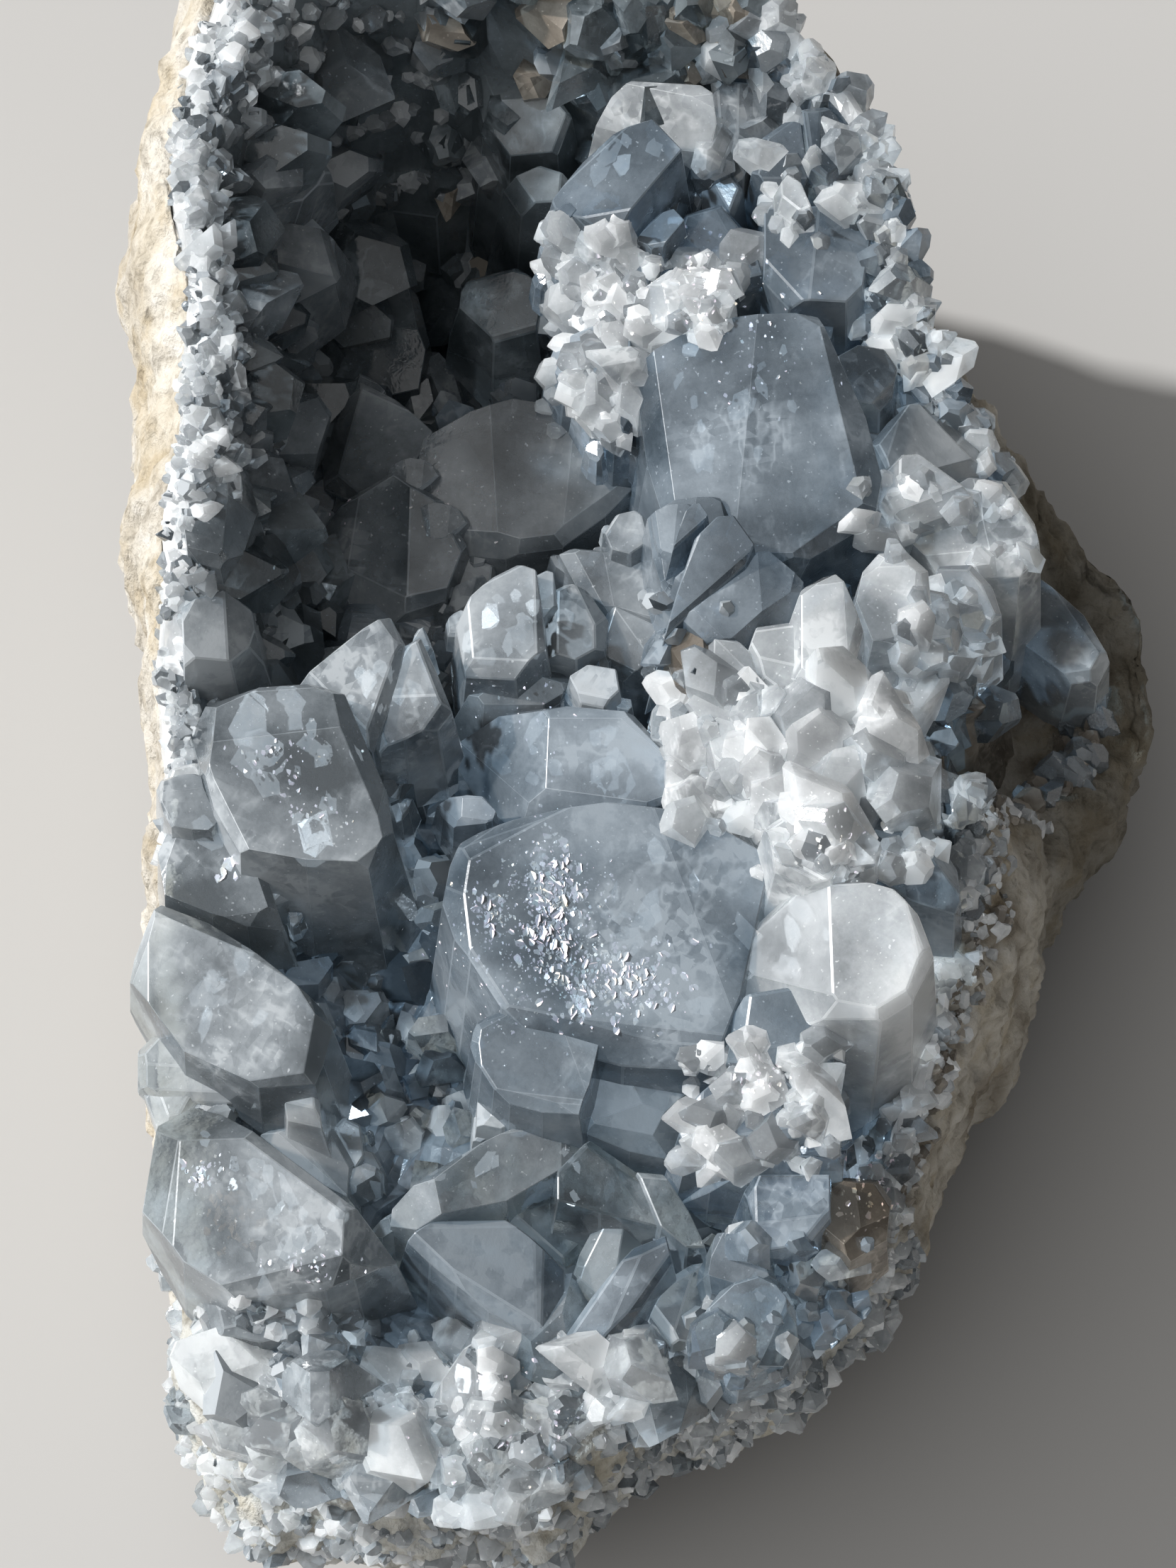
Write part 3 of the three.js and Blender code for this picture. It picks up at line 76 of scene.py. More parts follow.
# The widest line of the shell as it shows on the sheet, anticlockwise from the right
OUTLINE = [
    [48.4, 4.5], [47, 12.5], [41.6, 18.6], [36.6, 25], [30.6, 32.8], [28, 40], [26.4, 47], [22, 55.4],
    [14.5, 60.4], [5, 62.8], [-5, 65.6], [-14, 68.6], [-22, 69.6], [-29, 66], [-34.4, 59.6], [-37.6, 51],
    [-39.2, 42], [-38.4, 33], [-38.2, 22], [-38, 12], [-37.2, 2], [-36.8, -8], [-37.4, -18], [-37.2, -29],
    [-36.2, -39], [-35, -48], [-34.4, -56], [-30.6, -62.6], [-22.6, -66], [-12, -67], [-3, -66.2],
    [4.2, -60.2], [10, -57.4], [18, -53.8], [25, -46.4], [29.2, -38], [33.4, -28], [38, -20.4],
    [40, -11.5], [42.8, -6.8], [46.8, -2.6],
]
# The rim by direction: degrees anticlockwise from the right, height, distance inside the widest line
RIM = [
    [0, 27, 4], [18, 29, 4], [33, 40, 3.5], [50, 48, 3], [65, 51, 3], [80, 54, 3], [97, 58, 3.5],
    [112, 61.5, 5], [127, 62, 7], [143, 61.5, 7.8], [158, 59, 6], [172, 53, 3.4], [186, 45, 2.5],
    [200, 39, 3], [214, 37, 4.5], [230, 36, 5.5], [246, 35, 6], [262, 35, 5], [278, 35, 3.5],
    [292, 37, 3], [306, 40, 4.5], [320, 43, 7], [334, 44, 8.5], [347, 31, 5],
]
# How much of the shell's width rests on the table, and how many points go once round it
BASE_SHARE = 0.58
SIDES = 640
turns = np.arange(SIDES) * 2 * math.pi / SIDES
degrees = np.degrees(turns)
outward = np.stack([np.cos(turns), np.sin(turns), np.zeros(SIDES)], 1)


def rounded(points, steps, closed):
    """Points along a curve through the points given, the same number of steps between each two."""
    points = np.array(points, float)
    count = len(points)
    made = []
    for i in range(count if closed else count - 1):
        if closed:
            a, b, c, d = (points[(i + k) % count] for k in (-1, 0, 1, 2))
        else:
            a, b, c, d = (points[min(max(i + k, 0), count - 1)] for k in (-1, 0, 1, 2))
        here = steps if isinstance(steps, int) else steps[i]
        for t in np.arange(here) / here:
            made.append(0.5 * (2 * b + (c - a) * t + (2 * a - 5 * b + 4 * c - d) * t ** 2
                               + (3 * b - a - 3 * c + d) * t ** 3))
    if not closed:
        made.append(points[-1])
    return np.array(made)


def by_direction(table, column):
    """A smooth value between the entries of a list by direction, for each of the points round."""
    rows = np.array(table, float)
    after = np.searchsorted(rows[:, 0], degrees, side="right") % len(rows)
    before = (after - 1) % len(rows)
    gap = (rows[after, 0] - rows[before, 0]) % 360
    share = ease(((degrees - rows[before, 0]) % 360) / gap, 0, 1)
    return rows[before, column] + (rows[after, column] - rows[before, column]) * share


# The rock floor under the crystals, and the deep pocket in it at the far left
HOLLOW = spot(-13, 41, 14)
HOLLOW_REACH = (17, 21)
FLOOR_HEIGHT = 24
HOLLOW_DEPTH = 17


def floor_height(x, y):
    """The height of the rock under the crystals: deep at the far left."""
    away = np.hypot((x - HOLLOW.x) / HOLLOW_REACH[0], (y - HOLLOW.y) / HOLLOW_REACH[1])
    return FLOOR_HEIGHT - HOLLOW_DEPTH * (1 - ease(away, 0.25, 1.25))


def lump(points, size):
    """Low lumps of weathered rock, from a few waves that cross each other."""
    def wave(x, y, z, turn):
        return np.sin((points @ np.array([x, y, z])) / size + turn)
    return (wave(1, 0.4, 0.7, 0.3) * wave(0.3, 1.1, -0.5, 1.9)
            + 0.5 * wave(-1.3, 1.7, 1.2, 4.1) * wave(2, 0.6, 1.1, 2.2))


# The widest line climbs from the near end to the far end
WIDEST_NEAR = 21
WIDEST_CLIMB = 20
widest = [spot(a, b, WIDEST_NEAR + WIDEST_CLIMB * float(ease(b, -20, 66))) for a, b in OUTLINE]
widest = rounded(widest, 24, True)
line_turns = np.arctan2(widest[:, 1], widest[:, 0])
wide_reach = np.interp(turns, line_turns, np.hypot(widest[:, 0], widest[:, 1]), period=2 * math.pi)
wide_height = np.interp(turns, line_turns, widest[:, 2], period=2 * math.pi)
rim_height = by_direction(RIM, 1)
rim_reach = wide_reach - by_direction(RIM, 2)


def ring(reach, height):
    """A ring of points round the middle, at a reach and a height that may differ by direction."""
    return outward * np.reshape(reach, (-1, 1)) + np.array([[0, 0, 1]]) * np.reshape(height, (-1, 1))


def inner_ring(share, climb):
    """A ring inside the hollow: a share of the way out to the rim, climbing from the floor to it."""
    flat = ring(rim_reach * share, np.zeros(SIDES))
    floor = floor_height(flat[:, 0], flat[:, 1])
    return ring(rim_reach * share, floor + (rim_height - floor) * climb)


def outer_ring(share, climb):
    """A ring between the rim and the shell's widest line."""
    return ring(rim_reach + (wide_reach - rim_reach) * share, rim_height + (wide_height - rim_height) * climb)


def under_ring(share, height):
    """A ring below the widest line, drawn in by a share."""
    return ring(wide_reach * share, height + np.zeros(SIDES))


# The shell's cross-section, from the middle of its floor over the rim and down to the middle of its underside
profile = [
    inner_ring(0.02, 0), inner_ring(0.35, 0), inner_ring(0.5, 0), inner_ring(0.62, 0), inner_ring(0.78, 0),
    inner_ring(0.89, 0.4), inner_ring(0.935, 0.86), inner_ring(0.97, 0.99), outer_ring(0.12, 0.015),
    outer_ring(0.5, 0.18), outer_ring(0.84, 0.55), outer_ring(1, 1), under_ring(0.965, wide_height * 0.55),
    under_ring(0.85, wide_height * 0.22), under_ring(BASE_SHARE + 0.1, 1.6), under_ring(BASE_SHARE, 0),
    under_ring(0.02, 0),
]
WEATHERED_ROWS = range(8, 15)
for row in WEATHERED_ROWS:
    around = profile[row] * np.array([1, 1, 0])
    around /= np.linalg.norm(around, axis=1, keepdims=True)
    swell = 0.9 * lump(profile[row], 6) + 0.5 * lump(profile[row], 2.6) - 0.4
    profile[row] = profile[row] + around * swell[:, None]
PROFILE_STEPS = [1, 2, 2, 2, 3, 6, 8, 8, 8, 9, 12, 12, 12, 8, 3, 1]
shell = rounded(profile, PROFILE_STEPS, False)


def skin_normals(grid):
    """The outward direction at each point of a stack of rings."""
    along = np.roll(grid, -1, 1) - np.roll(grid, 1, 1)
    across = np.gradient(grid, axis=0)
    normals = np.cross(across, along)
    return normals / np.maximum(np.linalg.norm(normals, axis=2, keepdims=True), 1e-9)


def roughen(grid, normals, first, last, relief):
    """Pushes the points of rows first to last out or in along the skin by a relief worked out at each."""
    for row in range(first, last):
        for side in range(grid.shape[1]):
            grid[row, side] += normals[row, side] * relief(Vector(grid[row, side]), row, side)


def rock_relief(place, row, side):
    """Broken fibrous rock: soft lumps, ridges that run down from the rim, and small pits."""
    lumps = 0.95 * noise.fractal(place / 12, 0.8, 2.1, 4)
    knobs = 0.65 * (0.35 - abs(noise.noise(place / 6.5 + Vector((3, 9, 4)))))
    ridges = 0.55 * noise.noise(Vector((place.x / 1.5, place.y / 1.5, place.z / 8)))
    grains = 0.34 * noise.noise(place / 0.8)
    pits = -1.6 * max(0, noise.noise(place / 2.4 + Vector((7, 3, 1))) - 0.22)
    cracks = -0.5 * max(0, 0.05 - abs(noise.noise(place / 9 + Vector((1, 5, 8))))) / 0.05
    fade = 1 - float(ease(row, len(shell) - 14, len(shell) - 5))
    return (lumps + knobs + ridges + grains + pits + cracks) * fade


first_outside = sum(PROFILE_STEPS[:5])
roughen(shell, skin_normals(shell), first_outside, len(shell) - 4, rock_relief)
shell[:, :, 2] = np.maximum(shell[:, :, 2], 0)


def linear(text):
    """The linear colour of an sRGB hex value."""
    parts = [int(text[i:i + 2], 16) / 255 for i in (1, 3, 5)]
    return tuple(c / 12.92 if c < 0.04045 else ((c + 0.055) / 1.055) ** 2.4 for c in parts) + (1,)


def rock_tint(place):
    """Cream at the left, icy white at the near end, grey brown with dark streaks at the right, and a dark
    grey brown on the right lobe that is painted shade over some real brown.
    """
    waver = 9 * noise.noise(place / 14)
    left = float(ease(-place.x + waver, 2, 22))
    near = float(ease(-place.y + waver, 40, 56))
    streak = float(ease(noise.noise(Vector((place.x / 5, place.y / 5, place.z / 14))), -0.05, 0.35))
    # Painted shade: the lobe at the right faces away from the lamp and is darkened towards a shadow colour,
    # over some real brown
    lobe = float(ease(place.x + waver, 26, 38)) * float(ease(24 - abs(place.y - 4), 0, 10))
    tint = Vector(linear("#D2CEC6")).lerp(Vector(linear("#8F8678")), 0.75 * streak)
    tint = tint.lerp(Vector(linear("#5E5A4E")), 0.7 * lobe)
    patch = float(ease(noise.noise(place / 13 + Vector((4, 4, 9))), -0.1, 0.4))
    cream = Vector(linear("#E1DDD5")).lerp(Vector(linear("#CDC3B0")), 0.6 * streak)
    cream = cream.lerp(Vector(linear("#BDB6AB")), 0.55 * patch)
    tint = tint.lerp(cream, left)
    return tint.lerp(Vector(linear("#D6D8D6")), near)


def grid_mesh(name, grid):
    """A closed skin over a stack of rings, its first and last rings closed to a point."""
    rows, sides = grid.shape[:2]
    points = [tuple(p) for p in grid.reshape(-1, 3)] + [tuple(grid[0].mean(0)), tuple(grid[-1].mean(0))]
    faces = []
    for row in range(rows - 1):
        for side in range(sides):
            after = (side + 1) % sides
            faces.append((row * sides + side, (row + 1) * sides + side,
                          (row + 1) * sides + after, row * sides + after))
    for side in range(sides):
        after = (side + 1) % sides
        faces.append((rows * sides, side, after))
        faces.append((rows * sides + 1, (rows - 1) * sides + after, (rows - 1) * sides + side))
    mesh = bpy.data.meshes.new(name)
    mesh.from_pydata(points, [], faces)
    return mesh


def in_scene(name, data):
    """An object made of a mesh, a lamp or a lens, added to the scene."""
    made = bpy.data.objects.new(name, data)
    bpy.context.scene.collection.objects.link(made)
    return made


def put(name, mesh, slot, *replaced):
    """Sets a piece down at its real size: it rides on the body and takes the place of the CAD nodes named."""
    mesh.transform(Matrix.Scale(MM, 4))
    piece = in_scene(name, mesh)
    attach(piece, "root")
    if replaced:
        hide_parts(*replaced)


def add(tree, kind, values={}, links={}, stops=(), **settings):
    """Adds a node with its settings, its values, what feeds it and, on a ramp, its stops. Gives its first
    output, or the node itself where it has none."""
    made = tree.nodes.new(kind)
    for key, value in settings.items():
        setattr(made, key, value)
    for key, value in values.items():
        made.inputs[key].default_value = value
    for key, socket in links.items():
        tree.links.new(socket, made.inputs[key])
    for _ in stops[2:]:
        made.color_ramp.elements.new(0.5)
    for i, (place, shade) in enumerate(stops):
        made.color_ramp.elements[i].position = place
        made.color_ramp.elements[i].color = linear(shade) if isinstance(shade, str) else (shade,) * 3 + (1,)
    return made.outputs[0] if made.outputs else made


def new_material(name):
    """A material with nothing in it yet, and the tree that its nodes go in."""
    material = bpy.data.materials.new(name)
    material.use_nodes = True
    material.node_tree.nodes.clear()
    return material, material.node_tree


def limestone():
    """Fibrous limestone, broken and weathered. It gives the eye a dry, dull cream stone with no shine: its
    grain and fibres show as fine shading, and iron has stained it in patches."""
    material, tree = new_material("limestone")
    here = add(tree, "ShaderNodeTexCoord").node.outputs["Object"]
    tint = add(tree, "ShaderNodeAttribute", attribute_name="tint")
    # Scales are counts to a millimetre: grains of 2.4 mm, fibres 1.1 mm thick and 7.7 mm long, 7.7 mm stains
    grain = add(tree, "ShaderNodeTexNoise", {"Scale": 0.42 / MM, "Detail": 6, "Roughness": 0.65},
                {"Vector": here})
    fibre_place = add(tree, "ShaderNodeMapping", {"Scale": (0.9 / MM, 0.9 / MM, 0.13 / MM)}, {"Vector": here})
    fibre = add(tree, "ShaderNodeTexNoise", {"Scale": 1, "Detail": 4}, {"Vector": fibre_place})
    stain = add(tree, "ShaderNodeTexNoise", {"Scale": 0.13 / MM, "Detail": 5, "Roughness": 0.6},
                {"Vector": here})
    shade = add(tree, "ShaderNodeValToRGB", links={"Fac": grain},
                stops=[(0.3, "#958C7C"), (0.48, "#E6E2DA"), (0.7, "#FFFFFF")])
    rusty = add(tree, "ShaderNodeValToRGB", links={"Fac": stain},
                stops=[(0.52, "#FFFFFF"), (0.64, "#EADFC9"), (0.76, "#C9B491")])
    grained = add(tree, "ShaderNodeMixRGB", {"Fac": 0.8}, {"Color1": tint, "Color2": shade},
                  blend_type="MULTIPLY")
    stained = add(tree, "ShaderNodeMixRGB", {"Fac": 0.6}, {"Color1": grained, "Color2": rusty},
                  blend_type="MULTIPLY")
    both = add(tree, "ShaderNodeMath", links={0: grain, 1: fibre}, operation="ADD")
    bump = add(tree, "ShaderNodeBump", {"Strength": 0.8, "Distance": 0.9 * MM}, {"Height": both})
    rock = add(tree, "ShaderNodeBsdfPrincipled", {"Roughness": 0.88, "Specular IOR Level": 0.3},
               {"Base Color": stained, "Normal": bump})
    add(tree, "ShaderNodeOutputMaterial", links={"Surface": rock})
    return material


rind_mesh = grid_mesh("rock_shell", shell)
tints = rind_mesh.color_attributes.new("tint", "FLOAT_COLOR", "POINT")
for point, entry in zip(rind_mesh.vertices, tints.data):
    entry.color = rock_tint(point.co)
rind_mesh.materials.append(limestone())
rind_mesh.polygons.foreach_set("use_smooth", [True] * len(rind_mesh.polygons))
put("rock_shell", rind_mesh, "rock", "rind")


# Crystal crust: every celestite crystal of the hollow, grown together into one body on a fine-grained lining.
# The large ones are flat-topped blocks, most of them milky blue grey, and sugar-sized ones fill between them.

# The large crystals: how high the top is, which way it leans and by how many degrees, the lines on the sheet
# beyond which it is cut away, each with its degrees of fall, how deep it is rooted, and its edge on the sheet
CRYSTALS = {
    # Far right: the cluster at the rim
    "rhomb": dict(height=55, lean=180, tilt=22, edge=[[-3.4, 49.2], [-0.4, 53.2], [2.2, 55.6], [5.5, 56.6],
        [8, 54], [3.1, 48.2], [0.3, 47.7]]),
    "cap": dict(height=56, lean=250, tilt=22, cuts=[[4.6, 58.6, 9, 56.4, 35], [5, 58, 1, 57.5, 25]],
        edge=[[0.9, 57], [2, 59], [5, 60.4], [8.4, 60.2], [10.6, 58.8], [10.9, 56.6], [10.3, 54.8],
        [8, 55]]),
    "browncap": dict(height=52, lean=330, tilt=25, cuts=[[12.8, 59.8, 12.6, 52, 18]], edge=[[10.6, 58.8],
        [12.2, 60.2], [14.8, 60], [16, 56.6], [13, 51.3], [11, 53.6]]),
    "rimcap": dict(height=54.5, lean=150, tilt=18, edge=[[10, 61.2], [12.4, 61.6], [15, 60.8], [18, 58.4],
        [17.2, 56.2], [14.8, 59.4], [11.2, 59]]),
    "bluecap": dict(height=54, lean=10, tilt=26, cuts=[[19.8, 58.4, 19.4, 51, 22]], edge=[[18.2, 57.6],
        [20.2, 57.8], [21.2, 56.8], [22.8, 52.6], [20.8, 51.2], [18.9, 52.6]]),
    "greycap": dict(height=53, lean=210, tilt=12, edge=[[14, 52.4], [14.8, 55.2], [16.8, 56.6], [18.9, 56],
        [19.4, 52.4], [18.2, 50.8], [15.4, 50.8]]),
    "whitecap": dict(height=54, lean=185, tilt=30, edge=[[15.9, 50.6], [17, 51.9], [18.1, 51.2],
        [19.1, 48.9], [17.4, 48.1], [16, 49.2]]),
    "rimknob": dict(height=52, lean=185, tilt=25, edge=[[20.1, 50.4], [20.8, 51.9], [22.2, 52],
        [23.4, 50.2], [23, 49.2], [20.6, 49.4]]),
    "greyslab": dict(height=51.5, lean=340, tilt=14, cuts=[[19.6, 48.5, 18.8, 41, 16]], edge=[[15, 49.4],
        [19.2, 49.9], [23.4, 49.4], [24.2, 47.4], [23.4, 42.4], [22, 41], [17.2, 41], [15, 43.4]]),
    "leftblade": dict(height=50.5, lean=355, tilt=30, edge=[[5.9, 52], [9.4, 54.8], [9.9, 54.4],
        [8.6, 50.2], [7.9, 48], [6.6, 48.8]]),
    "rightblade": dict(height=50, lean=200, tilt=28, edge=[[9.8, 54.4], [10.9, 54], [13.2, 50.8],
        [12.4, 48.8], [11, 48.2], [9.6, 50.6]]),
    "fan": dict(height=50.5, lean=215, tilt=15, cuts=[[10.4, 49.5, 13.6, 43.6, 14]], edge=[[7.4, 46.8],
        [8.4, 48.8], [11.2, 49.6], [13.6, 47.6], [15, 43], [12.6, 42], [8.6, 43.2]]),
    "tuft": dict(height=49.5, lean=200, tilt=30, edge=[[-4, 46.6], [-3, 47.2], [-1.2, 46.6], [-0.8, 44.6],
        [-2.2, 43.8], [-3.4, 44.6]]),
    "shelf": dict(height=50.5, lean=215, tilt=14, cuts=[[2.8, 47.8, 1.8, 40, 12]], edge=[[-1.6, 43.2],
        [-0.8, 45.6], [2, 48], [5, 48.4], [6.8, 46], [5.4, 41.4], [2.5, 40.2], [-0.6, 41.2]]),
    "belt": dict(height=52.8, lean=200, tilt=20, cuts=[[3.4, 42.4, 12.4, 42.6, 16]], edge=[[3.4, 38.6],
        [4, 41.6], [7, 43.8], [11.2, 43.2], [12.6, 41], [11.6, 39.6], [8, 38.8], [5.4, 38.2]]),
    "upperbulge": dict(height=48, lean=195, tilt=26, cuts=[[-1.6, 39, -2.4, 34, 20]], edge=[[-3.5, 35.6],
        [-2.9, 37], [-1.4, 38.8], [1, 39.8], [3.6, 38.6], [3.8, 35.4], [1, 34], [-2, 34.2]]),
    "lowerbulge": dict(height=47, lean=200, tilt=30, cuts=[[2.4, 35.6, 2.2, 29.8, 22]], edge=[[-1.1, 32.9],
        [-0.6, 34.4], [1, 35.4], [3.4, 35.4], [4.2, 31.6], [3.4, 30.2], [2.3, 30], [0.3, 31]]),
    # Right: the large blue plate and its neighbours
    "plate": dict(height=52, lean=245, tilt=9, root=20, cuts=[[19.3, 40.6, 21.1, 33.2, 34],
        [22.9, 32, 24.3, 24.6, 30], [12.4, 20, 14.6, 41.6, 13]], edge=[[4, 36.6], [5.4, 38.8], [10, 39.4],
        [14.4, 41.9], [17.4, 41.4], [19.6, 40], [23.6, 31.2], [25, 26], [24.4, 22.8], [17.2, 18.6],
        [10.5, 18], [7, 21.4], [5.2, 28]]),
    "blueside": dict(height=49, lean=330, tilt=14, edge=[[21.2, 36.4], [23, 37.4], [25.2, 37], [26.3, 35.4],
        [25.9, 33.4], [24.8, 32.2], [22, 32.8]]),
    "darkside": dict(height=47.5, lean=20, tilt=24, cuts=[[27, 32.8, 25.2, 27, 20],
        [29.5, 32.4, 33.6, 28, 22]], edge=[[24.2, 29.4], [25.6, 31.2], [27.2, 32.3], [30.2, 32.2],
        [33.2, 29.2], [34, 27.2], [31, 26.4], [25.4, 27]]),
    "palewedge": dict(height=50, lean=205, tilt=16, cuts=[[26.6, 28.8, 26.4, 22.2, 18]], edge=[[24.6, 23.4],
        [25.2, 27], [26.4, 28.2], [27.9, 28.3], [33, 24.6], [27.2, 22.4]]),
    "palerim": dict(height=47.5, lean=215, tilt=13, root=20, cuts=[[33, 25, 34.6, 18, 9]], edge=[[28, 23],
        [31, 25.6], [34, 26.6], [35.6, 26], [38, 22.4], [38.5, 19.8], [36.8, 18.2], [30, 18.2],
        [27.6, 20.4]]),
    "lobecrystal": dict(height=34.5, lean=205, tilt=24, root=9, cuts=[[38.6, 18, 44.4, 10.8, 30]],
        edge=[[34.9, 16], [36.6, 17.6], [38.6, 17.4], [42.2, 14.6], [44.4, 11], [43.4, 9.2], [41.2, 8.9],
        [37.2, 11.8]]),
    # Right: rounded white knobs over the brown hollow
    "tallknob": dict(height=56, lean=230, tilt=12, cuts=[[17.2, 16.6, 22, 17.2, 26],
        [21.6, 18, 22.2, 9, 24]], edge=[[17.2, 14], [18.3, 17], [20.2, 18.6], [21.8, 17.2], [23.4, 13.4],
        [22.4, 9.4], [20, 7.4], [17.2, 9.6]]),
    "wideknob": dict(height=54, lean=225, tilt=10, cuts=[[23, 18.4, 29, 18.6, 24],
        [28, 19.6, 27.2, 12, 22]], edge=[[22.8, 15.6], [23.4, 18.2], [24.8, 19.8], [27, 20.1], [28.9, 18.4],
        [29.2, 15.6], [27, 12.4], [24.2, 12.2]]),
    "lowknob": dict(height=52, lean=300, tilt=12, cuts=[[30, 17, 32, 12.4, 26]], edge=[[27, 13.4],
        [27.2, 15.6], [28.6, 16.8], [30.6, 16.4], [31.9, 13.6], [31.4, 11.8], [28.6, 11.4]]),
    "outerknob": dict(height=50, lean=210, tilt=15, cuts=[[31.6, 19.2, 34.4, 15.4, 25]], edge=[[29.2, 16.8],
        [29.9, 18.8], [32.6, 18.9], [34.4, 17], [35.2, 14.6], [33.8, 13.2], [31.2, 14.6]]),
    "milkface": dict(height=53.5, lean=250, tilt=8, root=20, cuts=[[12, 8.6, 20.5, -3, 10],
        [20, 8, 27, 6, 12]], edge=[[9.8, 5.6], [13.6, 8.4], [19.2, 9], [26, 8], [28.4, 3], [27.8, -0.6],
        [24, -2.4], [15, -2.8], [11.2, 0.4]]),
    "goldface": dict(height=54, lean=205, tilt=14, cuts=[[10.2, 13, 14.6, 8.6, 8]], edge=[[9.9, 8.6],
        [10.1, 12.8], [12.6, 12.4], [13.8, 11.2], [14.6, 8.6], [12.8, 8]]),
    "brownface": dict(height=52.5, lean=190, tilt=34, edge=[[6.5, 12.8], [8.2, 14.2], [10, 15.9],
        [10.4, 11.6], [9.9, 6.4], [8.9, 6.4], [7.8, 8.8], [6.7, 10.4]]),
    "stepface": dict(height=54.5, lean=235, tilt=10, cuts=[[13.6, 11, 19, 9.8, 16]], edge=[[13.6, 11.4],
        [14.4, 13.6], [17.2, 14], [19, 11.4], [19.6, 8], [17, 6.4], [14.6, 8.2]]),
    "clearblock": dict(height=48.5, lean=235, tilt=10, cuts=[[5.8, 5.2, 8.6, 6.9, 25],
        [6, 4.6, 10.6, 1, 24]], edge=[[5.4, 4.2], [5.5, 6.6], [6.4, 7.5], [8.2, 8], [9.8, 6], [12.4, 4.4],
        [12.4, 1.8], [9.6, 1.1], [6.8, 3]]),
    "smallcube": dict(height=47, lean=215, tilt=16, edge=[[7.5, -0.2], [9.3, 1.6], [11.6, 1.3],
        [11.8, -1.4], [9.5, -2.9], [8.2, -2.5]]),
    "sparkler": dict(height=56.5, lean=200, tilt=15, cuts=[[15.6, -5.6, 21, -8.6, 24],
        [20.8, -1, 22.4, -5, 20]], edge=[[15.1, -3.4], [17.2, -2], [20.6, -1.4], [22.6, -2], [23, -4.2],
        [20.6, -8.2], [18.4, -8.5], [15.9, -7.2]]),
    "rightface": dict(height=51.5, lean=320, tilt=13, cuts=[[24.4, -2, 31, -8, 22]], edge=[[22.4, -2.6],
        [26, -0.8], [28.6, -2.2], [31.4, -6.6], [31.7, -10], [30.6, -12.6], [26, -9.4], [22.4, -8.2]]),
    "hollowwall": dict(height=44, lean=335, tilt=34, root=22, cuts=[[26, 12, 31.6, 9, 20]],
        edge=[[25.6, 11.6], [29.8, 12.2], [31.8, 10.4], [31.8, 7], [30.2, 4.2], [29, 0], [27.4, 3.4],
        [26, 8]]),
    # Right: the two tall leaning crystals
    "tallblade": dict(height=56, lean=205, tilt=20, cuts=[[7.4, 16, 9.6, 21.6, 28]], edge=[[6.6, 13],
        [7.6, 16.4], [9.1, 20.9], [11, 22.8], [12.4, 22.9], [14.2, 20.4], [13.4, 19], [10, 16]]),
    "tallwedge": dict(height=55, lean=255, tilt=12, root=20, cuts=[[16.9, 18.4, 16.3, 13.6, 28],
        [14.4, 20, 14.9, 13.4, 9]], edge=[[8, 14.4], [10, 16.2], [14, 19.7], [15.4, 19.8], [18.3, 17.3],
        [17.6, 14.8], [14, 12.4], [10.2, 12.4]]),
    # Middle, at the back: clear crystals between the hollow and the plate
    "clearleft": dict(height=46.5, lean=195, tilt=14, cuts=[[-4.6, 18.8, -4.4, 11, 38],
        [-9.8, 16.8, -11.2, 11, 24]], edge=[[-6, 18.8], [-8, 17.8], [-10, 16], [-11.2, 13.7], [-10.4, 9.6],
        [-6.2, 9.4], [-3.6, 11.4], [-4, 15.4], [-4.4, 18.2]]),
    "clearright": dict(height=44, lean=330, tilt=12, cuts=[[0.2, 17, 1.2, 11.4, 26]], edge=[[-3.7, 11.4],
        [-3.6, 16.4], [-2, 17.2], [-0.2, 16.8], [1.7, 14.2], [1.4, 11.8], [-1, 10.6]]),
    "pebble": dict(height=45, lean=200, tilt=18, root=18, edge=[[-6.1, 10.9], [-5.2, 11.5], [-4, 11.2],
        [-3.5, 10.7], [-4.8, 10], [-5.6, 10.2]]),
    "greyfloor": dict(height=42.5, lean=265, tilt=14, cuts=[[-3, 10.6, -1.8, 7.2, 20]], edge=[[-12, 6.4],
        [-8.4, 9.2], [-5, 10.2], [-2.4, 10.4], [-1.3, 9], [-2.4, 7.2], [-5, 5.6], [-9, 5.6]]),
    "ball": dict(height=45, lean=240, tilt=12, cuts=[[1.6, 21.4, 3, 23.6, 30], [4, 24, 5.6, 20.8, 30]],
        edge=[[1.4, 21.4], [2.4, 22.9], [4, 23.3], [5.2, 22.4], [5.4, 20.8], [3.6, 19.6], [2, 20]]),
    "bluefloor": dict(height=42.5, lean=300, tilt=12, cuts=[[1, 21.4, 2.4, 14, 12]], edge=[[-2.4, 19.8],
        [0.6, 21.2], [3, 20.4], [6.6, 20.4], [7.8, 17.6], [6.4, 13.4], [2, 14.6], [-1, 17.2]]),
    "glassfloor": dict(height=41.5, lean=250, tilt=16, cuts=[[2, 15.4, 5.4, 10.6, 14]], edge=[[0.8, 12],
        [1.8, 15.2], [5, 14.6], [6.6, 12.4], [5.6, 10], [3, 9.4], [1, 10.4]]),
    "bridge": dict(height=45.5, lean=200, tilt=12, edge=[[-1.6, 9.2], [0, 10.2], [2.4, 9.8], [2.7, 8],
        [1.4, 6.8], [-0.6, 7.2]]),
    # Middle left, in the shade of the rim
    "shadehead": dict(height=34.5, lean=190, tilt=16, cuts=[[-21.6, 25, -19, 35.4, 32],
        [-18, 35, -13, 30.4, 18]], edge=[[-19.4, 34.5], [-21.3, 32.2], [-22.6, 28], [-22.4, 25.6],
        [-20, 24.6], [-15, 26.4], [-13, 29.8], [-16.4, 33]]),
    "shadeplate": dict(height=38.5, lean=240, tilt=12, root=18, cuts=[[-8.4, 33, -7.6, 20, 9],
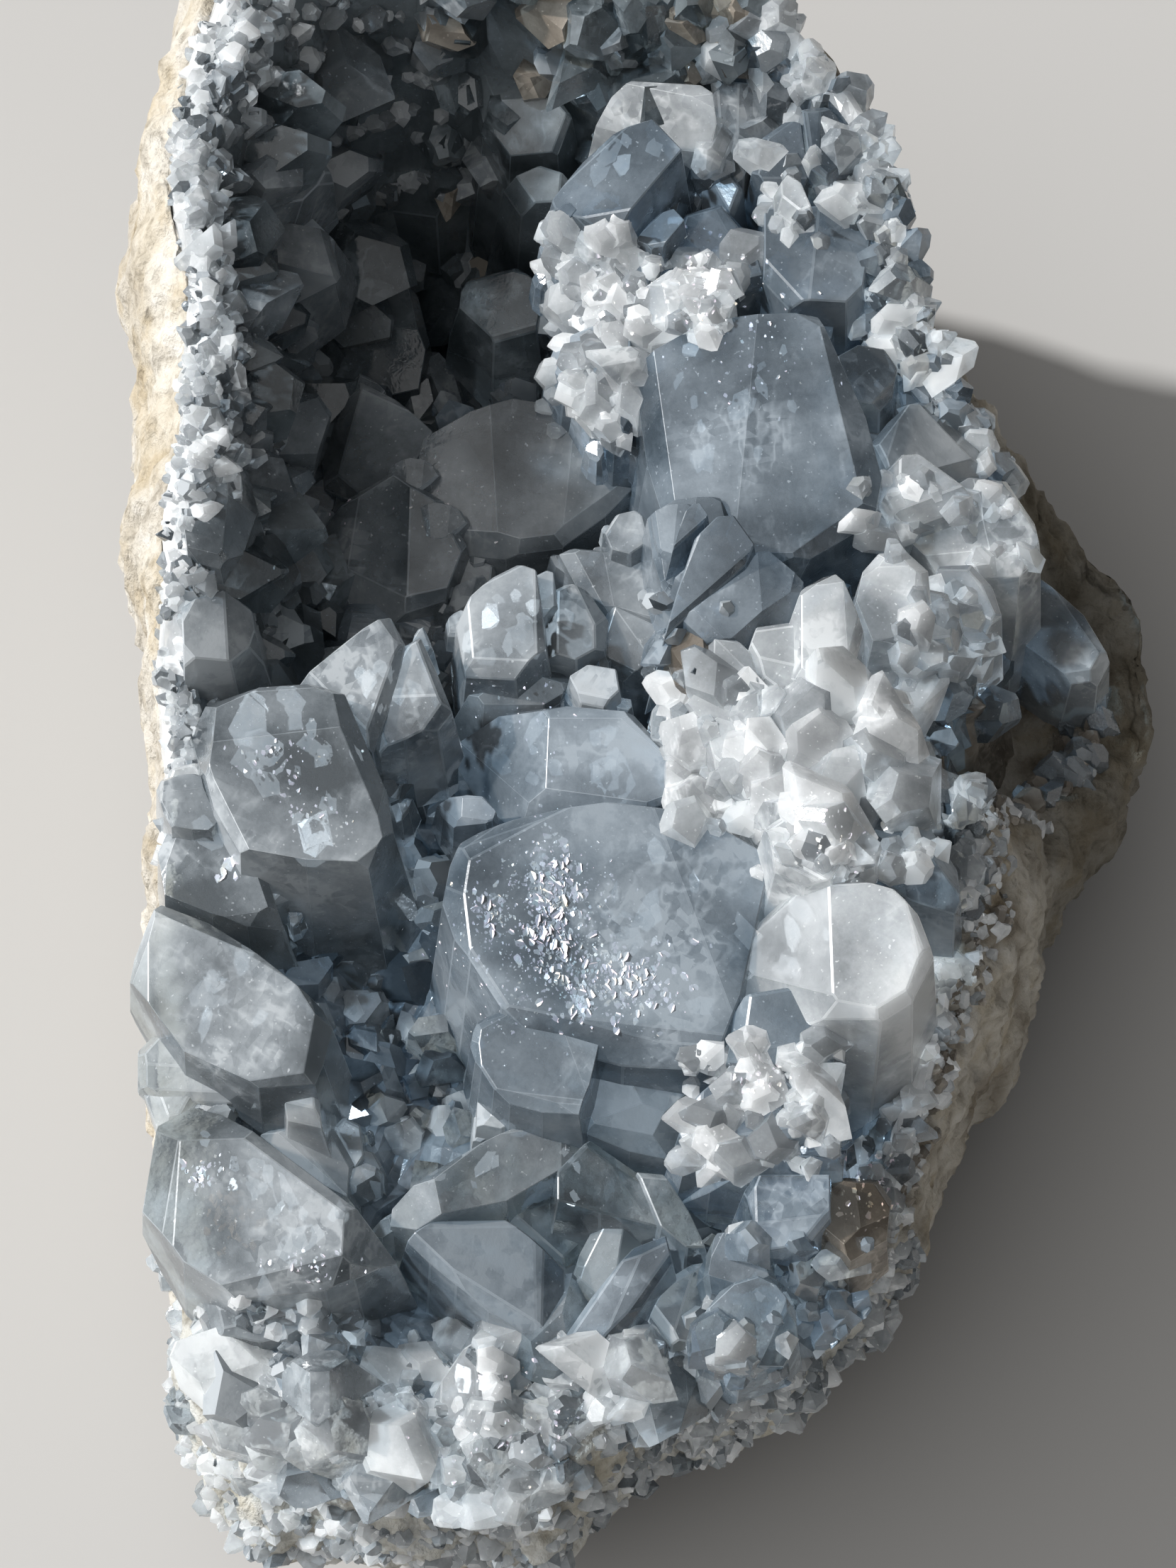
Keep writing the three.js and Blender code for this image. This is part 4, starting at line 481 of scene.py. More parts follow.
        [-1, 32.6, -2.2, 21, 9]], edge=[[-14, 29.4], [-10, 31.7], [-6.4, 32.8], [-1, 32], [2.6, 30],
        [4.8, 26.4], [1.4, 23.2], [-2.2, 20.6], [-7, 20], [-11, 20.4], [-15, 25]]),
    "shadewedge": dict(height=36.5, lean=205, tilt=20, cuts=[[-19.2, 26, -20.8, 16, 14],
        [-15, 27, -15.4, 14.6, 12]], edge=[[-24.8, 18.7], [-20.3, 24.6], [-16.5, 26.9], [-12.4, 24.4],
        [-10.4, 20.6], [-12.2, 16], [-16.6, 14.6], [-20.9, 16.6]]),
    "shadefoot": dict(height=34, lean=280, tilt=16, cuts=[[-14, 20, -8.6, 19, 14]], edge=[[-15, 19],
        [-12, 21], [-8, 19.4], [-7.8, 16.4], [-10.8, 13.6], [-14.8, 13], [-16.4, 15.2]]),
    # Left: the blades and the box-shaped crystal
    "leftleaf": dict(height=48.5, lean=240, tilt=14, cuts=[[-16.9, 15, -16.4, 8.6, 24]], edge=[[-25, 8.6],
        [-21.6, 11.3], [-19.4, 13.1], [-16.9, 14.6], [-15.6, 12], [-16.4, 9], [-18.4, 3.4], [-20.8, 4.4]]),
    "rightleaf": dict(height=47.5, lean=220, tilt=18, cuts=[[-13.9, 13, -12.4, 7.4, 26],
        [-17.6, 7.4, -12, 7.6, 10]], edge=[[-16.6, 10.4], [-15.6, 12], [-14.1, 12.8], [-13, 10],
        [-11.5, 6.8], [-13.2, 4.7], [-15.6, 3.8], [-17.6, 2.8], [-18.2, 4.4]]),
    "box": dict(height=50, lean=262, tilt=7, root=22, cuts=[[-20.6, 9, -17.2, -3.4, 42],
        [-33.4, 3.4, -20, 5, 11], [-32.6, 2.8, -30, -5, 26]],
        edge=[[-33.7, 6.6], [-32.4, 7.9], [-29, 8.3], [-23, 8.7], [-20.8, 8], [-17.2, -0.4], [-16.7, -3.6],
        [-18.8, -6.6], [-24, -6.4], [-29.6, -5.4], [-31.8, -1.6], [-33, 2.4]]),
    "lowclear": dict(height=39, lean=200, tilt=22, edge=[[-18.4, 2.6], [-16, 3.6], [-13.8, 3.5],
        [-14.6, 0.8], [-16, -1], [-17.2, -0.9]]),
    "darkbox": dict(height=44.5, lean=255, tilt=8, cuts=[[-31, -1.6, -27.6, -8.4, 10],
        [-35.6, -2, -36, -10, 24]], edge=[[-36.6, -5.6], [-35.2, -2.6], [-32.6, -0.8], [-29.6, -3],
        [-27.4, -7.6], [-26.2, -11.4], [-29, -11.8], [-32, -11], [-36, -9.4]]),
    "sparklebox": dict(height=42.5, lean=250, tilt=14, cuts=[[-26, -4.6, -25.4, -9.2, 22]],
        edge=[[-29.2, -5], [-24, -5.2], [-23.2, -8.6], [-25.4, -9.4], [-26.6, -11.8], [-28.4, -9.4]]),
    # Middle: the two largest crystals
    "ridge": dict(height=45.5, lean=205, tilt=16, root=20, cuts=[[-3.3, 6.6, -3.7, -3, 27],
        [-1.4, 9.2, 6, 2.8, 9], [-12.6, 5.6, -3.6, 5.6, 24]], edge=[[-13, 4.9], [-10.3, 6.1], [-6.3, 6.6],
        [-2.4, 8.4], [1.6, 9.2], [5.4, 4.4], [8, 1.4], [6.6, -1.4], [4.4, -2.2], [-6.2, -3.3],
        [-9.7, -0.2]]),
    "heart": dict(height=50, lean=250, tilt=6, root=24, cuts=[[-5.6, -4, -10.4, -6.6, 30],
        [-10.4, -6, -11.2, -12, 34], [-10.6, -13, -6.4, -19.4, 30], [-8, -19, 12.6, -21.4, 20],
        [5.6, -2.2, 12.8, -21, 5]], edge=[[-6.3, -2.9], [-9.2, -3.9], [-10.8, -4.8], [-11.7, -6.6],
        [-12.3, -9.6], [-11.3, -12.6], [-10, -15], [-7.4, -19], [-4, -21.6], [3, -23.4], [11.8, -24.2],
        [13, -18], [16.8, -8.8], [16.4, -6.6], [9, -2.4], [1.6, -1.5]]),
    "roundcube": dict(height=43, lean=215, tilt=12, cuts=[[-8.8, -22.4, -4, -21, 24],
        [-3.2, -21.4, -2.8, -27, 26]], edge=[[-9.3, -26.4], [-9, -22.4], [-7.4, -20.9], [-4.2, -20.9],
        [-2.7, -22.6], [-2.5, -25.4], [-3.4, -27.6], [-7.4, -29], [-9.4, -28.6]]),
    "undercut": dict(height=43, lean=260, tilt=14, cuts=[[0.6, -28.6, 9, -25.6, 10],
        [3, -24, 6.6, -31, 10]], edge=[[-1.2, -27], [-0.6, -25], [1.2, -23.6], [9.4, -25], [9.2, -27.4],
        [6.6, -31.2], [3.6, -30.6], [0, -29.4]]),
    # Middle, near: the crystal with the re-entrant notch
    "upperlobe": dict(height=42.5, lean=335, tilt=17, cuts=[[-10.6, -30.2, -2.2, -29, 46],
        [-2.3, -28, -2.3, -33, 12]], edge=[[-16.6, -36], [-16.4, -34.2], [-14, -33], [-10, -29.8],
        [-3.4, -27.4], [-2.4, -27], [-1.6, -27.8], [0, -29.9], [-2.2, -32.7], [-7, -35.5], [-10.6, -36.2],
        [-14.6, -37]]),
    "lowerlobe": dict(height=40.5, lean=325, tilt=17, cuts=[[-4.6, -38, -4.4, -46.6, 9]],
        edge=[[-15.3, -38.5], [-13.2, -37], [-7, -36.9], [-5, -38.4], [-2.1, -41], [-2.2, -45], [-2.6, -47],
        [-5, -46.6], [-8.5, -44.4], [-11.2, -42.2], [-13.4, -40.3]]),
    "notchwing": dict(height=42, lean=350, tilt=24, cuts=[[0, -29.6, 5.6, -38, 8]], edge=[[-2.6, -29.4],
        [0, -29.9], [4.2, -32.8], [6.4, -37.8], [1, -36.4], [-4.6, -34.8], [-2.6, -32.8]]),
    "notchwall": dict(height=36.5, lean=10, tilt=34, edge=[[-7, -35.6], [-4.6, -34.9], [1.4, -36.4],
        [0, -39], [-2.1, -41], [-5, -38.4], [-7, -36.9]]),
    "sideblade": dict(height=40, lean=15, tilt=28, edge=[[4.2, -32.8], [6.4, -33], [8.6, -36.4],
        [10, -39.4], [8.4, -39.4], [6.2, -37.6]]),
    "stripes": dict(height=37.5, lean=250, tilt=22, cuts=[[0.4, -37, -0.8, -43, 16]], edge=[[-1.6, -42.6],
        [-0.6, -39.6], [1, -36.6], [5.6, -38.2], [3.4, -40.6], [0.6, -44]]),
    "paleface": dict(height=41, lean=205, tilt=22, root=20, cuts=[[5.4, -38, 1.6, -46.6, 14]],
        edge=[[-2.3, -46.6], [0.4, -43.4], [3, -39.6], [6.6, -38.2], [7.2, -40.6], [4.8, -44], [3, -46.6],
        [0.6, -49], [-2.2, -49.4]]),
    "fold": dict(height=39, lean=255, tilt=16, cuts=[[4.4, -46.4, 4.2, -50.4, 14]], edge=[[2.4, -46.9],
        [4.4, -46.8], [6.6, -47.4], [6.5, -48.8], [4.2, -50.2], [2.2, -51], [1.5, -49]]),
    "darkstripes": dict(height=38, lean=15, tilt=26, cuts=[[9.4, -40, 7.2, -47, 18]], edge=[[9.9, -40],
        [10.2, -43], [8.4, -47.4], [7.2, -47.2], [5.4, -44.8], [7, -41.8]]),
    "darkfoot": dict(height=33.5, lean=340, tilt=26, edge=[[0, -52.6], [2.2, -51], [3.6, -53], [4.6, -55.6],
        [3.4, -56.8], [0.8, -56.2]]),
    # Right, near: the white tip and the crystals below it
    "whitetip": dict(height=55, lean=200, tilt=20, root=22, cuts=[[20.4, -7, 20.9, -20, 26],
        [27, -9.6, 28.6, -17.6, 24]], edge=[[10.8, -14.7], [13, -12.7], [17.8, -8], [22, -7.8], [26, -8.9],
        [28.1, -11], [29.4, -14.4], [27.6, -18], [25, -19.6], [19, -19.6], [14, -18.3]]),
    "palelower": dict(height=50.5, lean=245, tilt=12, cuts=[[13.4, -22.6, 21.6, -21.6, 14]],
        edge=[[12, -23], [12.6, -19], [13.4, -17.8], [17, -17.2], [19.4, -18.6], [21.6, -21.5],
        [20.6, -23.7], [16.8, -24.3], [13.4, -24.1]]),
    "glitter": dict(height=48.5, lean=250, tilt=14, cuts=[[9.8, -25.2, 9.4, -31, 24],
        [12, -30, 20.4, -28.6, 16]], edge=[[7.4, -30.4], [9.2, -26.6], [11.8, -24.4], [16.6, -24.2],
        [20.6, -25.8], [21.5, -27.8], [19.6, -29.6], [12.6, -31.4], [7.4, -31.2]]),
    "longwedge": dict(height=46.5, lean=260, tilt=10, cuts=[[12, -32.6, 21.6, -30.4, 14]], edge=[[6.9, -31],
        [12.4, -31], [17.4, -29.4], [21.6, -29], [22, -30.2], [21.6, -33.2], [14.2, -33.6], [10.6, -32.6]]),
    "brightblock": dict(height=45.5, lean=235, tilt=12, cuts=[[14.2, -33.4, 14.4, -39.6, 30],
        [14, -37.4, 20.4, -36.6, 12]], edge=[[13.2, -34.7], [14.2, -33.2], [20.6, -33.2], [20.6, -36.6],
        [18.6, -39.1], [14.6, -39.7], [14, -37]]),
    "glintside": dict(height=44, lean=300, tilt=12, cuts=[[22.6, -33, 23.4, -40, 14]], edge=[[20.2, -34.2],
        [22, -33.2], [24.6, -33.4], [25.8, -35.2], [25.4, -38.4], [22.4, -40.2], [19.8, -38]]),
    "roundtop": dict(height=43, lean=245, tilt=14, cuts=[[10.4, -40.4, 11.6, -38, 26]], edge=[[9.7, -40.2],
        [11, -38.2], [14, -38.1], [15.2, -39.8], [16.2, -42.4], [13.4, -43.6], [10.6, -42.8]]),
    "bignear": dict(height=42.5, lean=250, tilt=12, root=18, cuts=[[16.6, -44.4, 14.6, -49.6, 22],
        [10.4, -44, 9.8, -50, 16]], edge=[[11.6, -42.4], [14.8, -41.4], [17.4, -42.6], [17.6, -44.6],
        [18.5, -45.8], [16.6, -49.2], [13, -49.9], [10.4, -48], [9.9, -45]]),
    "darkbench": dict(height=39.5, lean=330, tilt=12, edge=[[15.4, -39.6], [18, -39], [21.4, -40.6],
        [22, -44], [18.4, -44.8], [17, -42]]),
    "nearplates": dict(height=38, lean=230, tilt=16, cuts=[[18.6, -45.4, 23.4, -43.8, 16]],
        edge=[[17.8, -44.4], [20, -43.6], [23.8, -43], [24.2, -44.4], [21.6, -47], [19.4, -47.4]]),
    "darkblue": dict(height=37.5, lean=350, tilt=15, cuts=[[4.8, -49.4, 5.4, -56.6, 26],
        [8.2, -48.4, 8.8, -57, 10]], edge=[[2.3, -51], [5, -49.6], [7.2, -47.6], [10.3, -50.2],
        [10.2, -52.8], [8.7, -56.6], [5.8, -57], [4.4, -55]]),
    "nearchip": dict(height=33, lean=250, tilt=28, edge=[[10.2, -51.6], [12.8, -51.8], [13.6, -53.6],
        [12, -55.8], [9.4, -55.2]]),
    # Left, near: the plate on the rim, the pointed wedge and the broken white edge
    "rimplate": dict(height=44.5, lean=228, tilt=11, root=18, cuts=[[-24.6, -17.4, -22.6, -20.6, 40],
        [-22.8, -19.6, -23.8, -25.6, 38], [-36.6, -11.4, -31.6, -11.8, 24], [-37.4, -12, -37.4, -19, 30]],
        edge=[[-36.4, -9.8], [-32.6, -11], [-29, -13.6], [-22.6, -19], [-21.8, -20.6], [-22.6, -23.6],
        [-23.3, -25.3], [-28, -25.6], [-34.6, -22.6], [-36.4, -20], [-39, -17], [-38.6, -14.6],
        [-37.4, -11.4]]),
    "rimblades": dict(height=39.5, lean=235, tilt=14, cuts=[[-37.6, -23.8, -28, -24.4, 16]],
        edge=[[-38.3, -22], [-36.4, -20.2], [-33, -21.6], [-26, -23.6], [-23.6, -25.4], [-26, -27],
        [-36, -26.6], [-38.3, -25.2]]),
    "rimstep": dict(height=37.5, lean=215, tilt=14, edge=[[-37.8, -25.8], [-35.4, -24.8], [-33, -26.2],
        [-34.4, -28.6], [-36.6, -29]]),
    "whitechip": dict(height=41, lean=200, tilt=20, edge=[[-26, -26.2], [-24.4, -25], [-23, -25.9],
        [-22.8, -28.6], [-25.6, -28]]),
    "arrow": dict(height=45, lean=235, tilt=8, root=20, cuts=[[-28.8, -43.4, -17, -38.6, 26],
        [-30, -28.8, -17.6, -37.8, 26], [-34.4, -26, -35.4, -41, 26]], edge=[[-34, -26], [-31.6, -27],
        [-28.4, -29.4], [-20, -35.6], [-17.1, -39], [-20, -41.5], [-22.4, -42.7], [-30, -43.4],
        [-34.4, -40.6], [-37.9, -36.2], [-36.6, -28.6]]),
    "oliveback": dict(height=35, lean=20, tilt=22, cuts=[[-26.4, -28.4, -20.6, -35, 10]],
        edge=[[-27.8, -29.6], [-25, -28.3], [-21.6, -29.2], [-19.4, -33], [-19.6, -35.6], [-24, -33]]),
    "olivebead": dict(height=33.5, lean=210, tilt=14, edge=[[-22, -29.4], [-20.8, -28.2], [-19.4, -28.9],
        [-19.1, -31.6], [-20, -33], [-21.6, -31.6]]),
    "underarrow": dict(height=40, lean=225, tilt=16, cuts=[[-31, -44.6, -21.6, -43.4, 16]],
        edge=[[-32.8, -43.6], [-30, -42.6], [-23, -42], [-21.2, -43.6], [-23.4, -46], [-28, -47],
        [-31.8, -46.6]]),
    "hexagon": dict(height=38.5, lean=215, tilt=12, cuts=[[-26.6, -51, -21, -51.8, 24]], edge=[[-26.8, -49],
        [-24.6, -47], [-22.6, -48], [-21.4, -50.2], [-21.3, -51.8], [-24, -53], [-26.6, -52.2]]),
    "greyfoot": dict(height=34.5, lean=245, tilt=26, cuts=[[-26, -52, -25.6, -60, 12]], edge=[[-28.4, -54],
        [-26, -52.2], [-23.4, -52.8], [-22.8, -56.4], [-24, -59.8], [-26, -60.2], [-28.6, -57.6]]),
    "whiteslab": dict(height=34, lean=215, tilt=30, edge=[[-33.2, -55.4], [-31, -51.8], [-29, -51.4],
        [-28.8, -54.6], [-31.4, -56.8]]),
    "whitemass": dict(height=37, lean=225, tilt=30, root=18, cuts=[[-12.8, -54, -8.6, -61.6, 16],
        [-9.6, -48, -9, -62, 18]], edge=[[-14, -53], [-10.6, -48], [-8.6, -46.8], [-7.4, -48], [-7, -53],
        [-7.2, -59.6], [-11, -62.4], [-15, -60.4]]),
    # The deep hollow at the far left, and the clear crystals along its rim
    "deepround": dict(height=34, lean=250, tilt=18, cuts=[[-14, 62, -14.6, 50, 14]], edge=[[-19, 52.6],
        [-17.4, 50.6], [-13, 50], [-10, 52], [-9.4, 56], [-10.6, 60], [-13.4, 61.8], [-17, 61]]),
    "deeptip": dict(height=46, lean=215, tilt=24, root=20, cuts=[[-10, 58, -1.6, 58.4, 16]],
        edge=[[-9.8, 60.8], [-9.2, 62.3], [-6.4, 61.9], [-3.6, 60], [-1.4, 57], [-2.6, 53.8], [-6.6, 53.4],
        [-8.8, 56.4]]),
    "deepchip": dict(height=44, lean=200, tilt=20, root=26, edge=[[-7, 51.4], [-4, 52.7], [-1.8, 52],
        [-2, 49.6], [-5.6, 49.4]]),
    "deepbead": dict(height=41, lean=200, tilt=22, edge=[[-11.4, 41], [-10, 43.2], [-6, 44.2], [-3.6, 42],
        [-4.4, 38.8], [-8, 37.8]]),
    "deeplong": dict(height=26, lean=250, tilt=14, cuts=[[-28, 40, -14, 38.6, 16]], edge=[[-28, 41],
        [-22, 44.2], [-18, 43.8], [-14.6, 42], [-13.6, 38], [-14.4, 33.6], [-18, 32.8], [-24.6, 36]]),
    "rimclear": dict(height=53, lean=335, tilt=34, edge=[[-29.4, 51], [-26.4, 54.8], [-23.4, 54.6],
        [-22, 52.6], [-23.6, 49.8], [-28, 49]]),
    "rimglass": dict(height=48, lean=335, tilt=36, cuts=[[-25, 50, -26, 43, 12]], edge=[[-30.4, 48],
        [-28, 50], [-24, 49.4], [-21.2, 47.4], [-22, 44.6], [-25.4, 43.6], [-30.4, 44.4]]),
    "leftglass": dict(height=56, lean=335, tilt=22, root=18, cuts=[[-30.4, 32, -29.8, 19.4, 26],
        [-34.6, 27, -28, 26, 10]], edge=[[-33.8, 31.2], [-32, 32.4], [-30, 31.2], [-28.6, 29.6],
        [-28.4, 24], [-29.6, 20.4], [-31.4, 18.8], [-34, 19.4], [-34.8, 25]]),
    "leftbead": dict(height=51, lean=320, tilt=20, cuts=[[-31, 17, -30.6, 10, 22]], edge=[[-34.6, 15.4],
        [-31, 16.6], [-28.6, 14.8], [-28.2, 12.2], [-30.4, 10.4], [-34.4, 10.8]]),
    "leftbeads": dict(height=45, lean=300, tilt=18, edge=[[-36.4, -1], [-35.6, 1.4], [-33.2, 2], [-32, 0.2],
        [-33.2, -1.8], [-35.6, -2.6]]),
    "whiteleft": dict(height=34.5, lean=235, tilt=34, root=16, cuts=[[-18, -51, -17, -60, 18]],
        edge=[[-20.4, -55], [-18.6, -51.6], [-15.2, -50.8], [-14, -54], [-14.8, -59.6], [-18.4, -60.6],
        [-20.2, -58.6]]),
    "darkbead": dict(height=35, lean=300, tilt=20, edge=[[-7.2, -48.2], [-5.4, -46.8], [-4, -48],
        [-3.8, -50], [-6.8, -50.6]]),
}

# The kinds of celestite, the last a darker one that is painted shade down in the pocket, and which stones
# look unlike the usual milky blue ones
BLUE, CLEAR, WHITE, SMOKY, PALE, DEEP_SHADE = range(6)
# shadeplate and shadewedge lie in the shade of the rim, and the lighter clear kind on them is painted light
CLEAR_ONES = (
    "rimclear rimglass leftglass leftbead darkside blueside clearleft clearright pebble glassfloor bluefloor"
    " bridge greyfloor lowclear notchwall darkstripes sideblade darkblue darkbench oliveback olivebead"
    " darkfoot clearblock smallcube browncap shadehead box sparklebox darkbox rimplate arrow leftleaf"
    " rightleaf underarrow rimblades rimstep shadeplate shadewedge shadefoot stripes upperlobe notchwing"
    " roundcube ball lobecrystal").split()
PALE_ONES = (
    "tallknob wideknob lowknob outerknob milkface goldface stepface sparkler whitecap rimcap whitetip rimknob"
    " belt whitechip whiteslab whitemass whiteleft palewedge palerim nearchip cap leftbeads").split()
SMOKY_ONES = "brownface hollowwall glintside".split()


def plane(point, normal):
    """The plane through a point, as its unit normal and its distance from the origin."""
    unit = Vector(normal).normalized()
    return unit, unit.dot(point)


# Corners this near to a plane are on it, and corners this near to each other are one
HAIR = 1e-4
SHORTEST_EDGE = 0.03


def cut_stone(planes, worn=0):
    """The corners and faces of a stone cut by planes, each a unit normal and its distance from the origin.
    Its edges can be worn by a width. Worn edges are marked among the faces."""
    normals = np.array([p[0] for p in planes], float)
    reaches = np.array([p[1] for p in planes], float)
    triples = np.array(list(itertools.combinations(range(len(planes)), 3)))
    sides = normals[triples]
    sound = np.abs(np.linalg.det(sides)) > HAIR
    corners = np.linalg.solve(sides[sound], reaches[triples[sound]][..., None])[..., 0]
    corners = corners[(corners @ normals.T < reaches + HAIR).all(1)]
    kept = []
    for corner in corners:
        if all(np.linalg.norm(corner - other) > SHORTEST_EDGE for other in kept):
            kept.append(corner)
    stone = bmesh.new()
    for corner in kept:
        stone.verts.new(corner)
    made = bmesh.ops.convex_hull(stone, input=stone.verts)
    loose = [g for g in made["geom_interior"] + made["geom_unused"] if isinstance(g, bmesh.types.BMVert)]
    bmesh.ops.delete(stone, geom=list(set(loose)), context="VERTS")
    bmesh.ops.dissolve_limit(stone, angle_limit=0.01, verts=stone.verts, edges=stone.edges)
    edges = set()
    if worn:
        edges = set(bmesh.ops.bevel(stone, geom=list(stone.edges), offset=worn, segments=1, profile=0.5,
                                    affect="EDGES", clamp_overlap=True)["faces"])
    bmesh.ops.recalc_face_normals(stone, faces=stone.faces)
    stone.verts.index_update()
    points = np.array([v.co for v in stone.verts])
    faces = [([v.index for v in f.verts], f in edges) for f in stone.faces]
    stone.free()
    return points, faces


# How far a stone's sides splay downwards in degrees, how deep its root goes and how wide its worn edges are
FLARE = 5
ROOT = 11
WORN = 0.12
# The share of its edges that carry a slanting face and of its corners that are cut off, each with the
# shortest edge at which that happens
SLANTED, SLANTED_FROM = 0.5, 1.5
CLIPPED, CLIPPED_FROM = 0.2, 2.5


def drawn_stone(draw, height, lean, tilt, edge, cuts=(), root=ROOT):
    """A crystal drawn on the sheet. Its top face passes the middle of the edge at the height given, and tilts
    down by so many degrees in the direction that it leans to. Beyond the line of each cut, on the side away
    from its middle, it falls away by so many more. Narrow slanting faces run along some of its edges and
    across some of its corners."""
    middle = sum((spot(a, b, height) for a, b in edge), Vector((0, 0, 0))) / len(edge)
    slope, turn = math.sin(math.radians(tilt)), math.radians(lean)
    top = Vector((math.cos(turn) * slope, math.sin(turn) * slope, math.cos(math.radians(tilt))))
    planes = [plane(middle, top)]

    def meet(a, b, sheet):
        """Where the line of sight through a place on the drawing sheet meets a plane."""
        ray = sight(a, b)
        return eye + ray * ((sheet[1] - sheet[0].dot(eye)) / sheet[0].dot(ray))

    for from_a, from_b, to_a, to_b, dip in cuts:
        start = meet(from_a, from_b, planes[0])
        aside = (meet(to_a, to_b, planes[0]) - start).cross(top).normalized()
        if (middle - start).dot(aside) > 0:
            aside.negate()
        dip = math.radians(dip)
        planes.append(plane(start, top * math.cos(dip) + aside * math.sin(dip)))
    rim = []
    for a, b in edge:
        ray = sight(a, b)
        facing = [sheet for sheet in planes if sheet[0].dot(ray) < 0]
        rim.append(eye + ray * max((reach - normal.dot(eye)) / normal.dot(ray) for normal, reach in facing))
    if sum(p.x * q.y - q.x * p.y for p, q in zip(rim, rim[1:] + rim[:1])) < 0:
        rim.reverse()
    flare = math.radians(FLARE)
    for point, after in zip(rim, rim[1:] + rim[:1]):
        along = after - point
        out = Vector((along.y, -along.x, 0)).normalized()
        planes.append(plane(point, (out * math.sin(flare) - Vector((0, 0, math.cos(flare)))).cross(along)))
        wide = along.length
        if wide > SLANTED_FROM and draw.random() < SLANTED:
            steep = math.radians(draw.uniform(35, 60))
            slant = out * math.sin(steep) + top * math.cos(steep)
            slant -= along * (slant.dot(along) / along.length_squared)
            planes.append(plane(point - out * min(draw.uniform(0.3, 1.3), wide * 0.25), slant))
        if wide > CLIPPED_FROM and draw.random() < CLIPPED:
            away = (point - sum(rim, Vector((0, 0, 0))) / len(rim)).normalized()
            planes.append(plane(point - away * draw.uniform(0.3, 0.9), away + top * draw.uniform(0.3, 0.9)))
    planes.append((Vector((0, 0, -1)), root - min(p.z for p in rim)))
    return cut_stone(planes, WORN)


# The crust's lining: how thick it is, and the mounds of it that lift the groups of crystals, each with its
# place on the sheet, height and reach
LINING = 4.5
MOUNDS = [
    [18, 30, 40, 17], [24, 6, 43, 17], [20, -14, 42, 15], [12, 50, 42, 16], [2, -8, 36, 18],
    [-3, -38, 32, 15], [-25, 2, 37, 12], [-30, -18, 34, 11], [-28, -35, 34, 12], [-6, 26, 30, 14],
    [15, -40, 35, 13], [-16, 12, 34, 11], [-4, 8, 34, 12], [-8, -56, 30, 14], [-28, -50, 30, 12],
]
mound_places = [(spot(a, b, height), height, reach) for a, b, height, reach in MOUNDS]
# How far out the lining goes by direction, as a share of the rim's reach: the lobe at the right stays bare
LINED = [
    [2, 0.92], [18, 0.93], [30, 1], [100, 1], [112, 0.982], [172, 0.982], [184, 1], [335, 1], [348, 0.92],
]
BARE_BELOW = 0.97
lined = by_direction(LINED, 1)


def bed_height(x, y):
    """The height of the lining over the floor, with its mounds."""
    floor = floor_height(x, y) + LINING
    best = floor
    for middle, height, reach in mound_places:
        fall = ease(np.hypot(x - middle.x, y - middle.y) / reach, 0.35, 1.1)
        best = np.maximum(best, floor + (height - floor) * (1 - fall))
    return best


def lining_ring(share, climb, drop):
    """A ring of the lining on the wall of the hollow: sunk into the rock where the rim stays bare."""
    flat = ring(rim_reach * share * lined, np.zeros(SIDES))
    floor = floor_height(flat[:, 0], flat[:, 1])
    bare = floor + np.minimum(drop, 2 if share < 0.85 else -2)
    flat[:, 2] = floor + (rim_height - floor) * climb + drop + lump(flat, 3)
    if share > 0.8:
        flat[:, 2] = np.where(lined < BARE_BELOW, bare, flat[:, 2])
    return flat


def bed_ring(share):
    """A ring of the lining on the floor of the hollow."""
    flat = lining_ring(share, 0, 0)
    flat[:, 2] = bed_height(flat[:, 0], flat[:, 1]) + 0.6 * lump(flat, 3)
    return flat


# Rings from the middle of the floor up the wall and over the rim, and back underneath inside the rock, with
# every other point of the shell's rings
wall_profile = [bed_ring(0.78), lining_ring(0.84, 0.5, LINING * 0.5), lining_ring(0.9, 0.94, 0),
                lining_ring(0.955, 1.01, 1), lining_ring(1, 1, 0.6), lining_ring(1.025, 0.6, 0)]
BED_ROWS = 15
WALL_STEPS = [5, 6, 5, 3, 1]
bed_rows = [bed_ring(share) for share in np.linspace(0.02, 0.76, BED_ROWS)]
under_rows = [inner_ring(share, 0) - np.array([0, 0, 2.5]) for share in (0.8, 0.5, 0.02)]
lining = np.array(bed_rows + list(rounded(wall_profile, WALL_STEPS, False)) + under_rows)[:, ::2]
lining_normals = skin_normals(lining)


def lining_relief(place, row, side):
    """The fine, uneven grain of the lining."""
    return 0.7 * noise.noise(place / 2.4) + 0.4 * noise.noise(place / 1.1)


roughen(lining, lining_normals, 0, BED_ROWS + sum(WALL_STEPS) - 3, lining_relief)


# Half the wide angle of a celestite prism
RHOMBUS = math.radians(41)


def habit(draw):
    """A small crystal along +Z, one unit wide: a rhombic prism with slanting faces at its tip and edges."""
    planes = [plane((0, 0, -0.5), (0, 0, -1)), plane((0, 0, 0.55), (draw.uniform(-0.2, 0.2), 0, 1))]
    for x, y in ((1, 1), (1, -1), (-1, -1), (-1, 1)):
        face = Vector((x * math.sin(RHOMBUS), y * math.cos(RHOMBUS), 0))
        planes.append(plane(face * draw.uniform(0.36, 0.44), face))
    for x, y in ((1, 0), (-1, 0), (0, 1), (0, -1)):
        if draw.random() < 0.85:
            planes.append((Vector((x, y, draw.uniform(0.5, 1.2))).normalized(), draw.uniform(0.34, 0.48)))
        if draw.random() < 0.4:
            planes.append((Vector((x, y, 0)), draw.uniform(0.36, 0.5)))
    return cut_stone(planes)


habit_draw = random.Random(12)
HABITS = [habit(habit_draw) for _ in range(14)]


# Radians that turn a crystal, or the pattern in it, once round
FULL_TURN = 6.3


